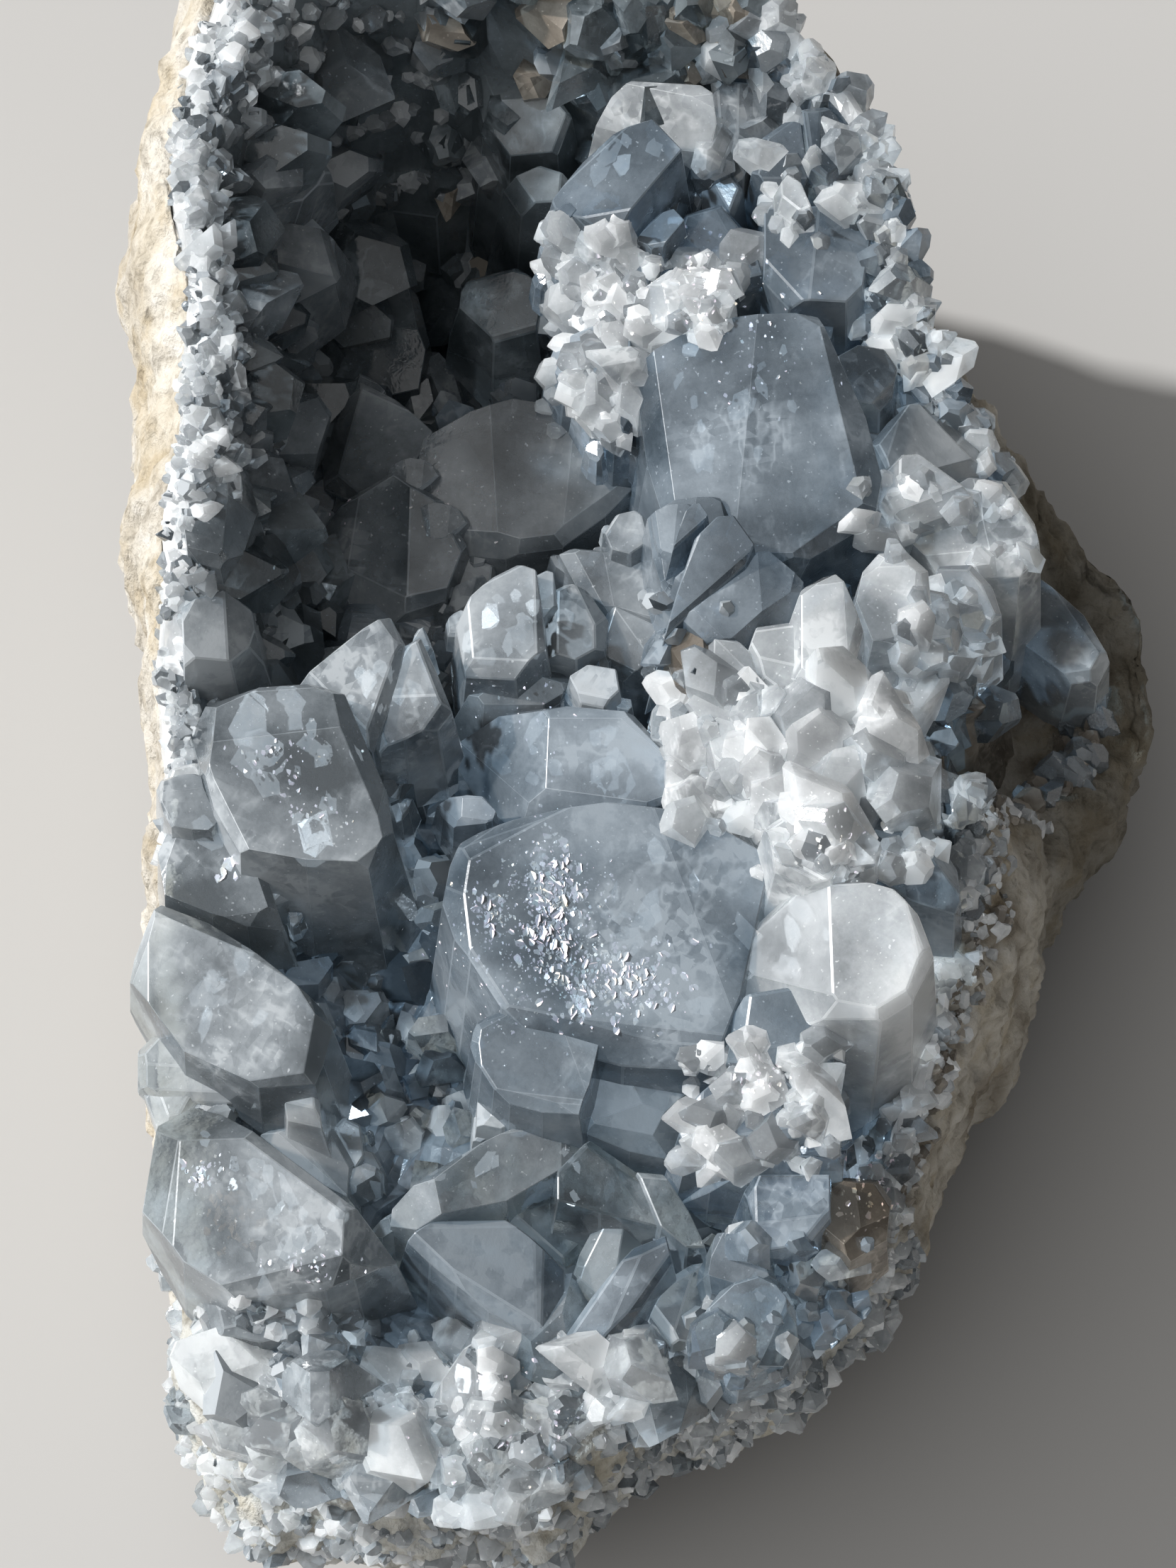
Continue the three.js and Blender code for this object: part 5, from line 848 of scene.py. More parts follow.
def small_stone(place, grow, size, look, draw):
    """One of the small habits, set with its root at a place and growing along a direction."""
    points, faces = draw.choice(HABITS)
    turn = Vector(grow).to_track_quat("Z", "Y").to_matrix()
    turn = turn @ Matrix.Rotation(draw.uniform(0, FULL_TURN), 3, "Z")
    stretch = np.array([size, size * draw.uniform(0.8, 1.1), size * draw.uniform(0.9, 1.5)])
    return points * stretch @ np.array(turn).T + np.array(place), faces, look


def sugar(grid, normals, draw, rows, between, count, sizes, looks, up=0.5, jitter=0.4, lift=0):
    """Small crystals scattered over a stretch of a stack of rings: rows, degrees between, how many, sizes,
    how far they turn upwards and every way, and how far they stand out, as a share of their size."""
    made = []
    sides = grid.shape[1]
    for _ in range(count):
        row = int(draw.uniform(*rows))
        side = int(draw.uniform(*between) / 360 * sides) % sides
        size = sizes[0] + (sizes[1] - sizes[0]) * draw.random() ** 2
        grow = Vector(normals[row, side]) + Vector((0, 0, up))
        grow = (grow + Vector([draw.uniform(-jitter, jitter) for _ in range(3)])).normalized()
        made.append(small_stone(grid[row, side] + np.array(grow) * size * lift, grow, size,
                                draw.choice(looks), draw))
    return made


def skin_of(stones):
    """What a line of sight meets first of some stones."""
    points, faces = [], []
    for corners, sides, _ in stones:
        start = len(points)
        points += [tuple(corner) for corner in corners]
        faces += [[start + i for i in side] for side, _ in sides]
    return BVHTree.FromPolygons(points, faces)


def overgrowth(skin, first, draw, low, high, count, sizes, looks):
    """Small crystals on what shows in a stretch of the sheet, only on the faces from a number on."""
    made = []
    for _ in range(count):
        a, b = draw.uniform(low[0], high[0]), draw.uniform(low[1], high[1])
        place, normal, face = skin.ray_cast(eye, sight(a, b).normalized())[:3]
        if place is None or face < first:
            continue
        size = sizes[0] + (sizes[1] - sizes[0]) * draw.random() ** 1.6
        grow = normal * 0.8 + Vector((-0.3, 0.1, 0.5))
        grow = (grow + Vector([draw.uniform(-0.5, 0.5) for _ in range(3)])).normalized()
        rooted = place - grow * size * 0.12
        made.append(small_stone(np.array(rooted), grow, size, draw.choice(looks), draw))
    return made


# How wide a stone has to be and how far inside the rim, to have smaller ones at its side, and how many
WIDE_STONE = 4
WELL_INSIDE = 0.78
SIDE_STONES = 2


def side_growth(stone, draw):
    """Smaller crystals grown parallel to a large one, on its flanks and lower than its top."""
    points, faces, look = stone
    low, high = points.min(0), points.max(0)
    wide = float(min(high[:2] - low[:2]))
    heart = (low + high) / 2
    x, y = heart[:2]
    side = int(math.atan2(y, x) / (2 * math.pi) * SIDES) % SIDES
    well_inside = math.hypot(x, y) < rim_reach[side] * WELL_INSIDE
    made = []
    for _ in range(SIDE_STONES if wide > WIDE_STONE and well_inside else 0):
        share = draw.uniform(0.2, 0.42)
        turn = draw.uniform(0, FULL_TURN)
        shift = np.array([math.cos(turn) * (high - low)[0] * 0.42, math.sin(turn) * (high - low)[1] * 0.42,
                          (high - low)[2] / 2 * (1 - share) - draw.uniform(1.5, 4.5)])
        made.append(((points - heart) * share + heart + shift, faces, look))
    return made


stones = []
draw = random.Random(4)
for name, drawing in CRYSTALS.items():
    # Crystals down in the pocket take the darker deep kind: painted shade
    look = (CLEAR if name in CLEAR_ONES else PALE if name in PALE_ONES else SMOKY if name in SMOKY_ONES
            else DEEP_SHADE if name.startswith("deep") else BLUE)
    stone = drawn_stone(draw, **drawing) + (look,)
    stones += [stone] + (side_growth(stone, draw) if look in (BLUE, CLEAR) else [])

# Where small crystals sit on the large ones, on the sheet: from, to, how many, smallest and largest width
OVERGROWN = [
    [(7, -4), (28, 9), 40, (3.4, 7), (PALE, WHITE, WHITE)],
    [(7, -4), (29, 9), 60, (1.4, 3.4), (PALE, WHITE)],
    [(13, -8), (30, -2), 26, (1.5, 4), (PALE, WHITE)],
    [(-2, 38), (12, 45), 80, (1.3, 3.2), (PALE, WHITE)],
    [(-4, 29), (3.5, 48), 80, (1.8, 4.8), (PALE, PALE, WHITE)],
    [(10, 42), (24, 56), 26, (1.8, 5), (CLEAR, PALE, PALE)],
    [(22, 19), (38, 27), 30, (1.5, 3.5), (PALE, PALE, WHITE)],
    [(8, -33), (21, -22), 50, (1.6, 4.4), (PALE, WHITE, PALE)],
    [(-33, -64), (5, -47), 50, (3.6, 7.5), (PALE, CLEAR, PALE)],
    [(-33, -64), (5, -47), 140, (1.4, 3.6), (PALE, WHITE, CLEAR)],
    [(10, -52), (24, -38), 40, (1.5, 4.4), (BLUE, CLEAR, PALE)],
    [(5, 5), (12, 16), 20, (1.5, 3.5), (BLUE, CLEAR, CLEAR)],
    [(26, 9), (34, 19), 20, (2, 4), (PALE, WHITE, PALE)],
    [(-30, -50), (-20, -44), 30, (1, 3), (WHITE, PALE, CLEAR)],
]
# The same for the gaps between the large ones
BETWEEN = [
    [(-30, -32), (-4, 12), 330, (1.8, 5.4), (CLEAR, PALE, CLEAR, PALE, BLUE)],
    [(-8, -50), (14, -20), 120, (1.4, 4), (BLUE, CLEAR, CLEAR)],
    [(-6, 4), (14, 22), 90, (1.4, 4), (BLUE, CLEAR, CLEAR)],
    [(8, 16), (40, 50), 120, (1.4, 4), (PALE, CLEAR, BLUE)],
]
lining_mesh = grid_mesh("lining", lining)
bed_faces = [(side.vertices, 0) for side in lining_mesh.polygons]
skin = skin_of(stones + [([corner.co for corner in lining_mesh.vertices], bed_faces, BLUE)])
bed_starts = sum(len(sides) for _, sides, _ in stones)
for zones, first in ((OVERGROWN, 0), (BETWEEN, bed_starts)):
    for zone in zones:
        stones += overgrowth(skin, first, draw, *zone)

# The sugar of fine crystals on the lining and the icing of them on the shell, counted from LIP and CREST, the
# rows of the two at the rim: rows, degrees between, how many, smallest and largest width, kinds, and where it
# matters how far they turn upwards and every way, and how far they stand out
LIP = BED_ROWS + 9
CREST = sum(PROFILE_STEPS[:7])
FROSTING = (PALE, WHITE, CLEAR, PALE)
SUGAR = [
    # Sugar of the darker deep kind, in the pocket and on its far wall, is painted shade
    [(3, BED_ROWS + 2), (0, 360), 560, (2.2, 6), (BLUE, BLUE, CLEAR, CLEAR, CLEAR, DEEP_SHADE), 0.5, 0.4, 0.15],
    [(BED_ROWS, LIP + 1), (84, 176), 80, (4.5, 10), (DEEP_SHADE, DEEP_SHADE, CLEAR)],
    [(LIP - 5, LIP + 8), (106, 178), 880, (1.1, 3), FROSTING, 0.6],
    [(LIP + 6, LIP + 11), (100, 180), 420, (0.7, 1.7), FROSTING, 0.3, 0.4, -0.2],
    [(LIP + 2, LIP + 10), (176, 212), 200, (1, 2.2), FROSTING],
    [(LIP - 8, LIP + 11), (80, 108), 130, (3, 7), (DEEP_SHADE, DEEP_SHADE, CLEAR, SMOKY)],
    [(LIP, LIP + 11), (30, 84), 230, (1.4, 4.4), (CLEAR, PALE, PALE, BLUE, PALE)],
    [(LIP - 3, LIP + 11), (212, 342), 520, (1.2, 3.2), (WHITE, PALE, PALE, CLEAR), 0.5, 0.4, -0.15],
]
ICING = [
    [(CREST - 4, CREST + 3), (176, 226), 150, (0.9, 2), FROSTING, 0.5, 0.4, -0.2],
    [(CREST, CREST + 40), (226, 296), 1500, (0.8, 2.8), FROSTING, 0.2, 0.25, -0.25],
    [(CREST - 3, CREST + 14), (294, 345), 420, (0.7, 2), (WHITE, PALE, SMOKY), 0.2, 0.3, -0.25],
    [(CREST - 12, CREST + 1), (345, 375), 60, (1.4, 3.6), (SMOKY, CLEAR)],
]
for zone in SUGAR:
    stones += sugar(lining, lining_normals, draw, *zone)
shell_normals = skin_normals(shell)
icing = []
for zone in ICING:
    icing += sugar(shell, shell_normals, draw, *zone)


TOUCHING = 0.02


def apart(stones):
    """Sorts stones into batches in which none touches another."""
    batches = []
    for stone in sorted(stones, key=lambda s: -len(s[1])):
        low, high = stone[0].min(0), stone[0].max(0)
        for batch in batches:
            lows, highs = np.array(batch["low"]), np.array(batch["high"])
            if not ((lows < high + TOUCHING).all(1) & (highs > low - TOUCHING).all(1)).any():
                break
        else:
            batch = {"low": [], "high": [], "stones": []}
            batches.append(batch)
        batch["low"].append(low)
        batch["high"].append(high)
        batch["stones"].append(stone)
    return [batch["stones"] for batch in batches]


def dress(mesh, looks, grain):
    """Gives each face a look and a grain: two numbers that turn the pattern inside its stone, one that says
    how frosted the face is, and 1 for a worn edge."""
    for material in CELESTITE:
        mesh.materials.append(material)
    mesh.polygons.foreach_set("material_index", looks)
    mesh.attributes.new("grain", "FLOAT_COLOR", "FACE").data.foreach_set("color", grain)
    return mesh


def joined(stones, draw):
    """One mesh of several stones, each face with its stone's look and a grain."""
    points, faces, looks, grain = [], [], [], []
    for corners, sides, look in stones:
        start = len(points)
        turn = [draw.random(), draw.random()]
        shared = draw.random()
        points += [tuple(c) for c in corners]
        for side, edge in sides:
            faces.append([start + i for i in side])
            looks.append(look)
            grain += turn + [0.55 * draw.random() + 0.45 * shared, float(edge)]
    mesh = bpy.data.meshes.new("batch")
    mesh.from_pydata(points, [], faces)
    return dress(mesh, looks, grain)


def grown_together(base, cutters):
    """A mesh joined with or cut by others, each with the operation named."""
    body = in_scene("crust", base)
    others = []
    for mesh, operation in cutters:
        other = in_scene("other", mesh)
        others.append(other)
        join = body.modifiers.new("join", "BOOLEAN")
        join.operation = operation
        join.solver = "MANIFOLD"
        join.object = other
    made = bpy.data.meshes.new_from_object(body.evaluated_get(bpy.context.evaluated_depsgraph_get()))
    for thing in others + [body]:
        bpy.data.objects.remove(thing)
    return made


def celestite(name, body, cloud, clearness, tint, depth, glow):
    """Celestite as it grew, its faces part glassy and part frosted. It gives the eye clear crystal with milky
    clouds, healed layers and specks in it: the clouds scatter light, the clear parts let it by. Given are the
    colours of body and clouds, how clear both are, the tint of light passing through, how soon the depth of
    the stone darkens it, and how much light scatters below the surface."""
    material, tree = new_material(name)
    here = add(tree, "ShaderNodeTexCoord").node.outputs["Object"]
    grain = add(tree, "ShaderNodeAttribute", attribute_name="grain").node
    parts = add(tree, "ShaderNodeSeparateXYZ", links={0: grain.outputs["Vector"]}).node
    frost, edge = parts.outputs["Z"], grain.outputs["Alpha"]
    spin = add(tree, "ShaderNodeVectorMath", {1: (FULL_TURN, FULL_TURN, 0)}, {0: grain.outputs["Vector"]},
               operation="MULTIPLY")
    turned = add(tree, "ShaderNodeVectorRotate", links={"Vector": here, "Rotation": spin},
                 rotation_type="EULER_XYZ")
    # Scales are counts to a millimetre: clouds of 12 mm, mottles of 1.2 mm, layers 6 mm wide and 3 mm apart
    clouds = add(tree, "ShaderNodeTexNoise", {"Scale": 0.085 / MM, "Detail": 2, "Roughness": 0.5},
                 {"Vector": turned})
    mottle = add(tree, "ShaderNodeTexNoise", {"Scale": 0.85 / MM, "Detail": 3, "Roughness": 0.8},
                 {"Vector": turned})
    flat = add(tree, "ShaderNodeMapping", {"Scale": (0.15 / MM, 0.17 / MM, 0.3 / MM)}, {"Vector": turned})
    sheets = add(tree, "ShaderNodeTexNoise", {"Scale": 1, "Detail": 3, "Roughness": 0.65}, {"Vector": flat})
    veil = add(tree, "ShaderNodeValToRGB", links={"Fac": sheets},
               stops=[(0.44, 0.0), (0.5, 0.2), (0.54, 0.0)])
    # Shattered stretches of 13 mm, filled with shards 0.7 mm by 0.9 mm and 2.4 mm long
    shattered = add(tree, "ShaderNodeTexNoise", {"Scale": 0.075 / MM, "Detail": 3, "Roughness": 0.65},
                    {"Vector": turned})
    patchy = add(tree, "ShaderNodeValToRGB", links={"Fac": shattered}, stops=[(0.5, 0.1), (0.62, 1.0)])
    long = add(tree, "ShaderNodeMapping", {"Scale": (1.5 / MM, 1.1 / MM, 0.42 / MM)}, {"Vector": turned})
    cells = add(tree, "ShaderNodeTexVoronoi", {"Scale": 1}, {"Vector": long}).node.outputs["Color"]
    shards = add(tree, "ShaderNodeMath", {1: 0.24}, {0: cells, 2: veil}, operation="MULTIPLY_ADD")
    veils = add(tree, "ShaderNodeMath", links={0: shards, 1: patchy}, operation="MULTIPLY")
    # Specks of 0.3 mm
    specks = add(tree, "ShaderNodeTexNoise", {"Scale": 2.9 / MM, "Detail": 1}, {"Vector": turned})
    banks = add(tree, "ShaderNodeMath", {1: 1.2}, {0: clouds, 2: veils}, operation="MULTIPLY_ADD")
    milk = add(tree, "ShaderNodeMath", {1: 0.2}, {0: mottle, 2: banks}, operation="MULTIPLY_ADD")
    facet = add(tree, "ShaderNodeMath", {1: 0.18}, {0: frost, 2: milk}, operation="MULTIPLY_ADD")
    dots = add(tree, "ShaderNodeValToRGB", links={"Fac": specks}, stops=[(0.7, 0.0), (0.78, 0.3)])
    dotted = add(tree, "ShaderNodeMath", links={0: facet, 1: dots}, operation="ADD")
    worn = add(tree, "ShaderNodeMath", {1: 0.08}, {0: edge, 2: dotted}, operation="MULTIPLY_ADD")
    milky = add(tree, "ShaderNodeMath", {1: 0.74, 2: 0.02}, {0: worn}, operation="MULTIPLY_ADD")
    colour = add(tree, "ShaderNodeValToRGB", links={"Fac": milky}, stops=[(0.5, body), (0.82, cloud)])
    least, most = clearness
    through = add(tree, "ShaderNodeValToRGB", links={"Fac": milky},
                  stops=[(0.48, most), (0.64, (least + most) / 2), (0.8, least)])
    dulled = add(tree, "ShaderNodeMath", {1: 0.95}, {0: edge, 2: frost}, operation="MULTIPLY_ADD")
    rough = add(tree, "ShaderNodeValToRGB", links={"Fac": dulled},
                stops=[(0.0, 0.05), (0.55, 0.09), (0.8, 0.2), (1.0, 0.34)])
    bump = add(tree, "ShaderNodeBump", {"Strength": 0.14, "Distance": 0.2 * MM}, {"Height": mottle})
    crystal = add(tree, "ShaderNodeBsdfPrincipled",
                  {"IOR": 1.62, "Subsurface Weight": glow, "Subsurface Radius": (1, 1, 1),
                   "Subsurface Scale": 3 * MM},
                  {"Base Color": colour, "Transmission Weight": through, "Roughness": rough, "Normal": bump},
                  subsurface_method="BURLEY")
    passing = add(tree, "ShaderNodeBsdfTransparent", {"Color": linear(tint)})
    shadow = add(tree, "ShaderNodeLightPath").node.outputs["Is Shadow Ray"]
    surface = add(tree, "ShaderNodeMixShader", links={0: shadow, 1: crystal, 2: passing})
    # Thick crystal turns a colder blue
    inside = add(tree, "ShaderNodeVolumeAbsorption", {"Color": linear("#B4C7D6"), "Density": depth})
    add(tree, "ShaderNodeOutputMaterial", links={"Surface": surface, "Volume": inside})
    return material


# In the order of the kinds above: the milky blue grey of most stones, the clearest, the white masses, the
# smoky brown by the lobe, the pale stones and sugar, and the darkest, down in the pocket, where its darkness
# is painted shade
CELESTITE = [
    celestite("celestite_blue", "#8799A8", "#B3BFC9", (0.38, 0.8), "#D3DBE1", 40, 0),
    celestite("celestite_clear", "#B2BFC9", "#DAE1E6", (0.4, 0.85), "#E1E7EB", 24, 0),
    celestite("celestite_white", "#E6EAED", "#F7F9FA", (0.18, 0.6), "#F4F6F7", 9, 0.8),
    celestite("celestite_smoky", "#A3988A", "#CFC6B9", (0.3, 0.75), "#C6C0B4", 30, 0),
    celestite("celestite_pale", "#CFD7DD", "#ECF0F2", (0.32, 0.75), "#EEF1F3", 12, 0.7),
    celestite("celestite_deep_shade", "#84929A", "#AFBBC2", (0.45, 0.88), "#BCC6CC", 35, 0),
]
LINING_GRAIN = [0.3, 0.6, 0.7, 0]
LOBE_FROM = 28
POCKET_RIGHT = 6
POCKET_NEAR = 30


def lining_look(number, middle):
    """The kind of a face of the lining: white along the rim, smoky by the lobe, and in the pocket the darker
    deep kind, as painted shade.
    """
    if number > (LIP + 6) * lining.shape[1]:
        return WHITE
    if middle.x > LOBE_FROM:
        return SMOKY
    return DEEP_SHADE if middle.x < POCKET_RIGHT and middle.y > POCKET_NEAR else BLUE


dress(lining_mesh, [lining_look(i, side.center) for i, side in enumerate(lining_mesh.polygons)],
      LINING_GRAIN * len(lining_mesh.polygons))


def mould():
    """What the crust may fill: below the rim nothing of it hangs outside the shell."""
    overhang, ceiling, lowest, bottom = 1.8, np.full(SIDES, 100.0), np.full(SIDES, 7.0), np.full(SIDES, 3.0)
    rows = [ring(wide_reach + overhang, ceiling), ring(wide_reach + overhang, rim_height + 3),
            ring(wide_reach - 0.3, rim_height - 1.5), ring(rim_reach * 0.99, rim_height - 5),
            ring(wide_reach * 0.92, rim_height * 0.4), ring(wide_reach * 0.8, lowest),
            ring(wide_reach * 0.6, bottom)]
    mesh = grid_mesh("mould", np.array(rows)[:, ::4])
    return dress(mesh, [WHITE] * len(mesh.polygons), LINING_GRAIN * len(mesh.polygons))


def skin_tree(mesh, unit):
    """The skin of a mesh in millimetres, for finding what is inside it and what a line of sight meets."""
    return BVHTree.FromPolygons([point.co / unit for point in mesh.vertices],
                                [side.vertices for side in mesh.polygons])


rock_skin = skin_tree(rind_mesh, MM)


def buried(place, skin):
    """Whether a place is inside a skin."""
    near, normal = skin.find_nearest(place)[:2]
    return (place - near).dot(normal) < 0


def settled(mesh):
    """Takes out the bubbles shut in between the crystals, and what touches neither the crust nor the rock."""
    body = bmesh.new()
    body.from_mesh(mesh)
    groups, seen = [], set()
    for first in body.faces:
        if first in seen:
            continue
        seen.add(first)
        group, waiting = [], [first]
        while waiting:
            side = waiting.pop()
            group.append(side)
            beside = {face for edge in side.edges for face in edge.link_faces} - seen
            seen |= beside
            waiting += beside
        groups.append(group)
    loose = []
    for group in sorted(groups, key=len)[:-1]:
        swelling = sum(side.calc_center_median().dot(side.normal) * side.calc_area() for side in group)
        if swelling < 0 or not any(buried(corner.co, rock_skin) for side in group for corner in side.verts):
            loose += group
    bmesh.ops.delete(body, geom=loose, context="FACES")
    body.to_mesh(mesh)
    body.free()
    mesh.validate()
    return mesh


cutters = [(joined(batch, draw), "UNION") for batch in apart(stones)]
cutters.append((mould(), "INTERSECT"))
cutters += [(joined(batch, draw), "UNION") for batch in apart(icing)]
crust_mesh = settled(grown_together(lining_mesh, cutters))
crust_mesh.name = "crystals"
crust_skin = skin_tree(crust_mesh, 1)
put("crystals", crust_mesh, "crystal", "crystal_crust")


# Healed cracks, veils and specks inside the clear crystals: thin pearly flakes that flash in the light where
# a crack has healed, faint white films deeper in, and a few brown bits of matrix. Each is a thin closed chip.

# Where they show on the sheet: from, to, how many, smallest and largest reach, and which they are
FLECKS = [
    [(-12, -21), (3, -4), 700, (0.06, 0.22), "pearl"],
    [(-5.2, -16), (-0.6, -5), 420, (0.12, 0.6), "pearl"],
    [(-9.6, -13.4), (-6.8, -9), 60, (0.15, 0.6), "pearl"],
    [(-3, -20), (8, -13.5), 360, (0.1, 0.5), "pearl"],
    [(-33, -40), (-28, -34), 60, (0.2, 0.7), "brown"],
    [(-35, -34.4), (-30, -31.4), 40, (0.12, 0.5), "pearl"],
    [(-28, -43), (-19, -39), 40, (0.1, 0.4), "pearl"],
    [(-30, -1), (-22, 5), 46, (0.1, 0.35), "pearl"],
    [(-27, -5), (-20, 0), 30, (0.1, 0.3), "pearl"],
    [(-32, -9), (-30, -6.5), 5, (0.4, 0.8), "pearl"],
    [(-24, 17), (-8, 28), 110, (0.1, 0.3), "pearl"],
    [(9, 32), (20, 42), 60, (0.1, 0.3), "pearl"],
    [(-1, 37), (17, 47), 90, (0.1, 0.35), "pearl"],
    [(18, -8), (24, -2), 40, (0.1, 0.35), "pearl"],
    [(12, -27), (17, -23), 40, (0.1, 0.4), "pearl"],
    [(-12, 2), (0, 11), 40, (0.08, 0.25), "pearl"],
    [(21, -38), (27, -31), 50, (0.12, 0.4), "pearl"],
    [(-14, -60), (3, -50), 70, (0.1, 0.4), "pearl"],
    [(-32, -4), (-20, 7), 26, (0.8, 2.8), "veil"], [(-12, -2), (6, 8), 16, (0.8, 2.6), "veil"],
    [(-10, 9), (3, 18), 26, (0.7, 2.4), "veil"], [(-22, 4), (-12, 13), 18, (0.7, 2.2), "veil"],
    [(-37, -24), (-24, -12), 14, (0.8, 2.4), "veil"], [(-34, -43), (-19, -30), 24, (0.7, 2.4), "veil"],
    [(8, 26), (18, 38), 14, (0.6, 2), "veil"], [(-9, -20), (12, -4), 22, (0.7, 2.2), "veil"],
    [(-15, -36), (3, -28), 16, (0.6, 2), "veil"], [(-20, 20), (-4, 30), 18, (0.8, 2.4), "veil"],
    [(12, -18), (22, -9), 12, (0.6, 2), "veil"], [(-13, -58), (-2, -48), 20, (0.8, 2.6), "veil"],
    [(-2, 50), (9, 57), 10, (0.6, 1.8), "veil"], [(10, -50), (22, -32), 22, (0.5, 1.8), "veil"],
]
# How deep they are under the face that they show through, and half their thickness
DEPTHS = {"pearl": (0.02, 0.22), "brown": (0.05, 0.5), "veil": (0.3, 2.4)}
HALF_THICK = 0.015
# Most of them face half way between the window and the camera's side, where they flash
TO_WINDOW = Vector((-0.93, 0.22, 0.72))
half_way = (TO_WINDOW.normalized() - sheet_ahead).normalized()


def flecks(name, kind, draw):
    """Thin chips with five to seven corners, most of them turned to flash towards the camera."""
    points, faces = [], []
    for (a0, b0), (a1, b1), count, sizes, what in FLECKS:
        for _ in range(count if what == kind else 0):
            heart = Vector(((a0 + a1) / 2, (b0 + b1) / 2))
            a = heart.x + draw.gauss(0, (a1 - a0) / 4)
            b = heart.y + draw.gauss(0, (b1 - b0) / 4)
            ray = sight(a, b).normalized()
            hit = crust_skin.ray_cast(eye, ray)[0]
            if hit is None:
                continue
            place = hit + ray * draw.uniform(*DEPTHS[kind])
            facing = (half_way + Vector([draw.gauss(0, 0.24) for _ in range(3)])).normalized()
            turn = facing.to_track_quat("Z", "Y").to_matrix()
            size = sizes[0] + (sizes[1] - sizes[0]) * draw.random() ** 2
            corners = draw.randint(5, 7)
            start = len(points)
            chip = []
            for height in (-HALF_THICK, HALF_THICK):
                for i in range(corners):
                    angle = (i + draw.uniform(-0.3, 0.3)) / corners * 2 * math.pi
                    reach = size * draw.uniform(0.5, 1.2)
                    corner = Vector((math.cos(angle) * reach, math.sin(angle) * reach * 0.7, height))
                    chip.append(place + turn @ corner)
            if kind != "pearl" and not all(buried(corner, crust_skin) for corner in chip):
                continue
            points += chip
            faces.append([start + i for i in reversed(range(corners))])
            faces.append([start + corners + i for i in range(corners)])
            for i in range(corners):
                after = (i + 1) % corners
                faces.append((start + i, start + after, start + corners + after, start + corners + i))
    mesh = bpy.data.meshes.new(name)
    mesh.from_pydata(points, [], faces)
    return mesh


def fleck_finish(name, shades, metallic, roughness, clearness=0):
    """A thin film or a grain of another mineral in the crystal, in shades that change every 1.1 mm."""
    material, tree = new_material(name)
    here = add(tree, "ShaderNodeTexCoord").node.outputs["Object"]
    shading = add(tree, "ShaderNodeTexNoise", {"Scale": 0.9 / MM, "Detail": 2}, {"Vector": here})
    colour = add(tree, "ShaderNodeValToRGB", links={"Fac": shading},
                 stops=[(0.3 + 0.4 * i / (len(shades) - 1), shade) for i, shade in enumerate(shades)])
    finish = add(tree, "ShaderNodeBsdfPrincipled",
                 {"Metallic": metallic, "Roughness": roughness, "Transmission Weight": clearness, "IOR": 1.3},
                 {"Base Color": colour})
    add(tree, "ShaderNodeOutputMaterial", links={"Surface": finish})
    return material


fleck_draw = random.Random(21)

# The air film of a healed crack gives the eye a pearly flash of faint colours
pearls = flecks("healed_cracks", "pearl", fleck_draw)
pearls.materials.append(fleck_finish("pearly_film", ["#FFF1DC", "#FFFFFF", "#F6E4F2", "#E2F3F4"], 0.1, 0.28))
put("healed_cracks", pearls, "crystal")

# A veil of tiny bubbles gives the eye a faint white sheet in clear crystal
veils = flecks("inner_veils", "veil", fleck_draw)
veils.materials.append(fleck_finish("inner_veil", ["#E6EDF2", "#FFFFFF", "#EEF4F6"], 0, 0.22, 0.65))
put("inner_veils", veils, "crystal")

# Grains of the host rock give the eye dull brown specks
bits = flecks("matrix_bits", "brown", fleck_draw)
bits.materials.append(fleck_finish("brown_matrix", ["#3B322A", "#5C4C3C", "#8A7760"], 0, 0.6))
put("matrix_bits", bits, "crystal")


# Stage: a pale table top, one soft lamp at the left like a window, and pale light from above left. The camera
# looks down on the cluster as the drawing sheet is looked at.

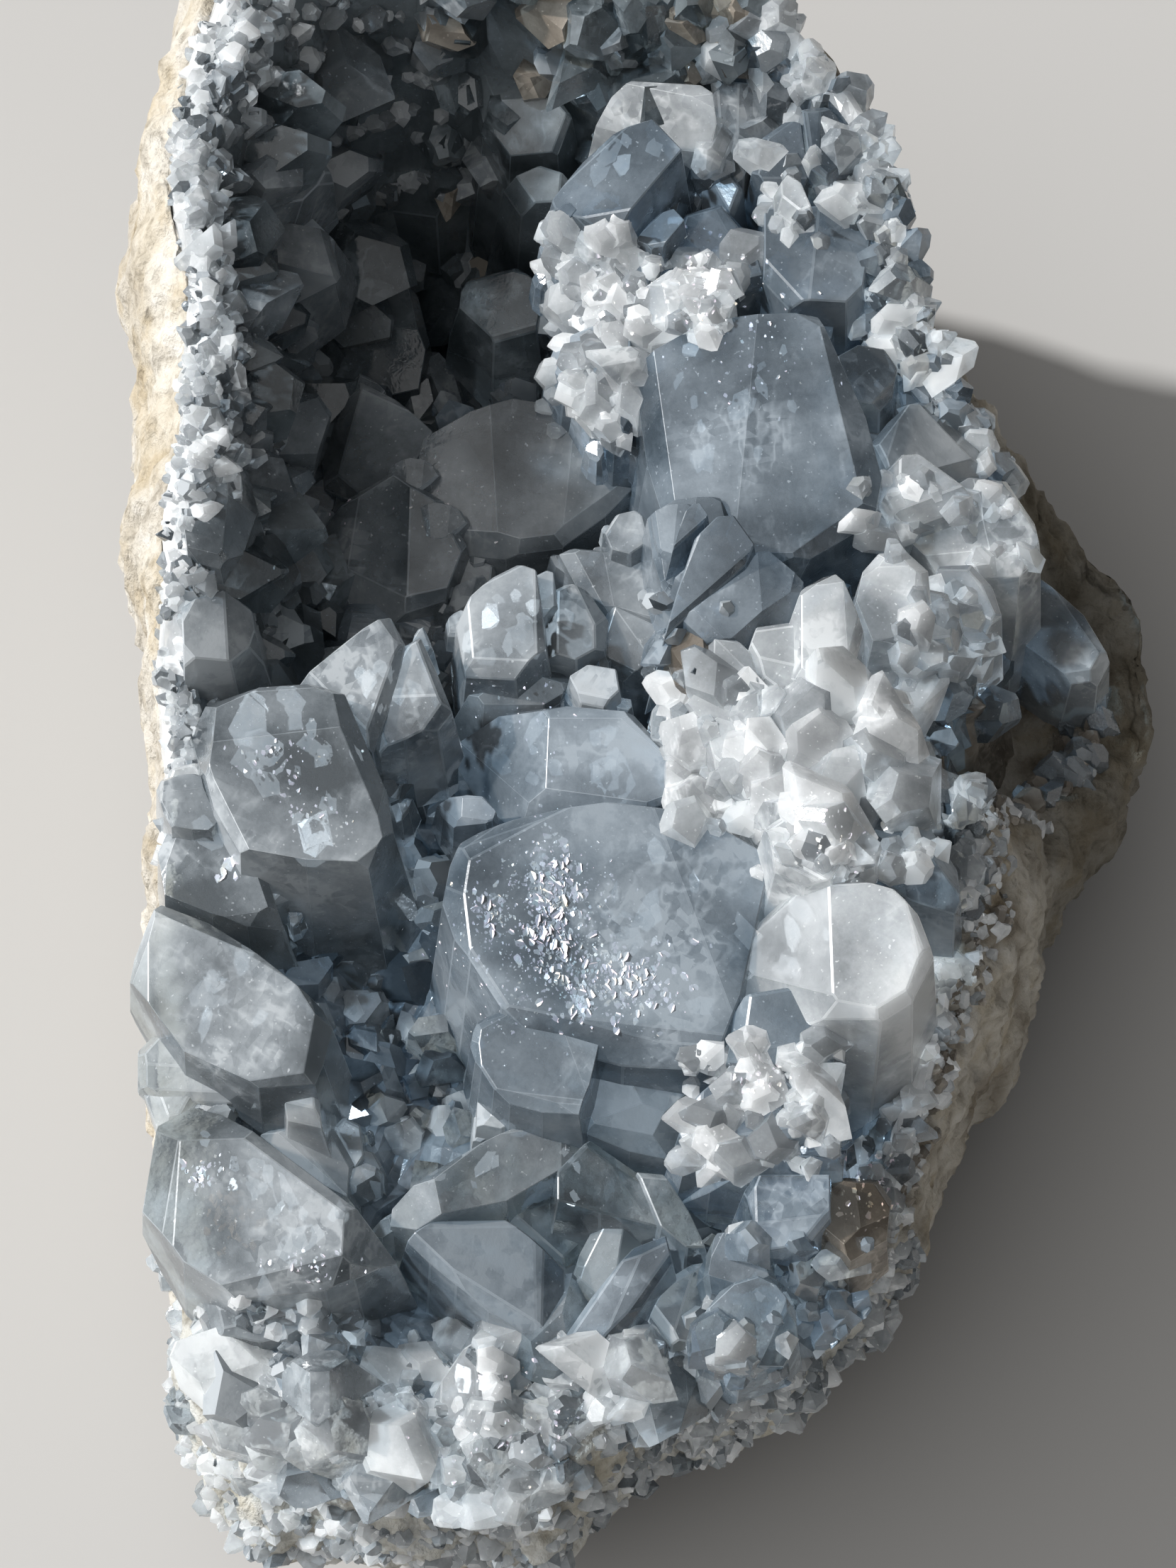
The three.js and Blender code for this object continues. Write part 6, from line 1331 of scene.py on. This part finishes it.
TABLE_HALF = 3
floor_mesh = bpy.data.meshes.new("table_top")
floor_mesh.from_pydata([(x * TABLE_HALF, y * TABLE_HALF, 0) for x, y in ((-1, -1), (1, -1), (1, 1), (-1, 1))],
                       [], [(0, 1, 2, 3)])
table_top = in_scene("table_top", floor_mesh)
# Matt emulsion paint gives the eye an even, warm grey ground with no reflections
paint = bpy.data.materials.new("matt_paint")
paint.use_nodes = True
coat = paint.node_tree.nodes["Principled BSDF"]
coat.inputs["Base Color"].default_value = linear("#C2C0BD")
coat.inputs["Roughness"].default_value = 0.8
floor_mesh.materials.append(paint)

window = bpy.data.lights.new("window", "SUN")
window.angle = math.radians(2.5)
window.energy = 4
lamp = in_scene("window", window)
lamp.rotation_euler = TO_WINDOW.to_track_quat("Z", "Y").to_euler()

sky = bpy.data.worlds.new("sky")
sky.use_nodes = True
sky.node_tree.nodes.clear()
aim = add(sky.node_tree, "ShaderNodeTexCoord").node.outputs["Generated"]
BRIGHT_SIDE = (-0.62, -0.25, 0.74)
toward = add(sky.node_tree, "ShaderNodeVectorMath", {1: BRIGHT_SIDE}, {0: aim}, operation="DOT_PRODUCT")
glow = add(sky.node_tree, "ShaderNodeValToRGB", links={"Fac": toward.node.outputs["Value"]},
           stops=[(0.0, 0.06), (0.45, 0.14), (0.8, 0.55), (0.95, 1.0)])
light = add(sky.node_tree, "ShaderNodeBackground", {"Strength": 1.1}, {"Color": glow})
add(sky.node_tree, "ShaderNodeOutputWorld", links={"Surface": light})
bpy.context.scene.world = sky
bpy.context.scene.view_settings.view_transform = "Standard"

lens = bpy.data.cameras.new("camera")
lens.lens = 100
lens.sensor_fit = "VERTICAL"
lens.sensor_height = 36
lens.clip_end = 20
camera = in_scene("camera", lens)
camera.location = eye * MM
camera.rotation_euler = (-sheet_ahead).to_track_quat("Z", "Y").to_euler()
bpy.context.scene.camera = camera

cycles = bpy.context.scene.cycles
cycles.max_bounces = 6
cycles.diffuse_bounces = 1
cycles.glossy_bounces = 2
cycles.transmission_bounces = 6
cycles.caustics_refractive = False
cycles.caustics_reflective = False
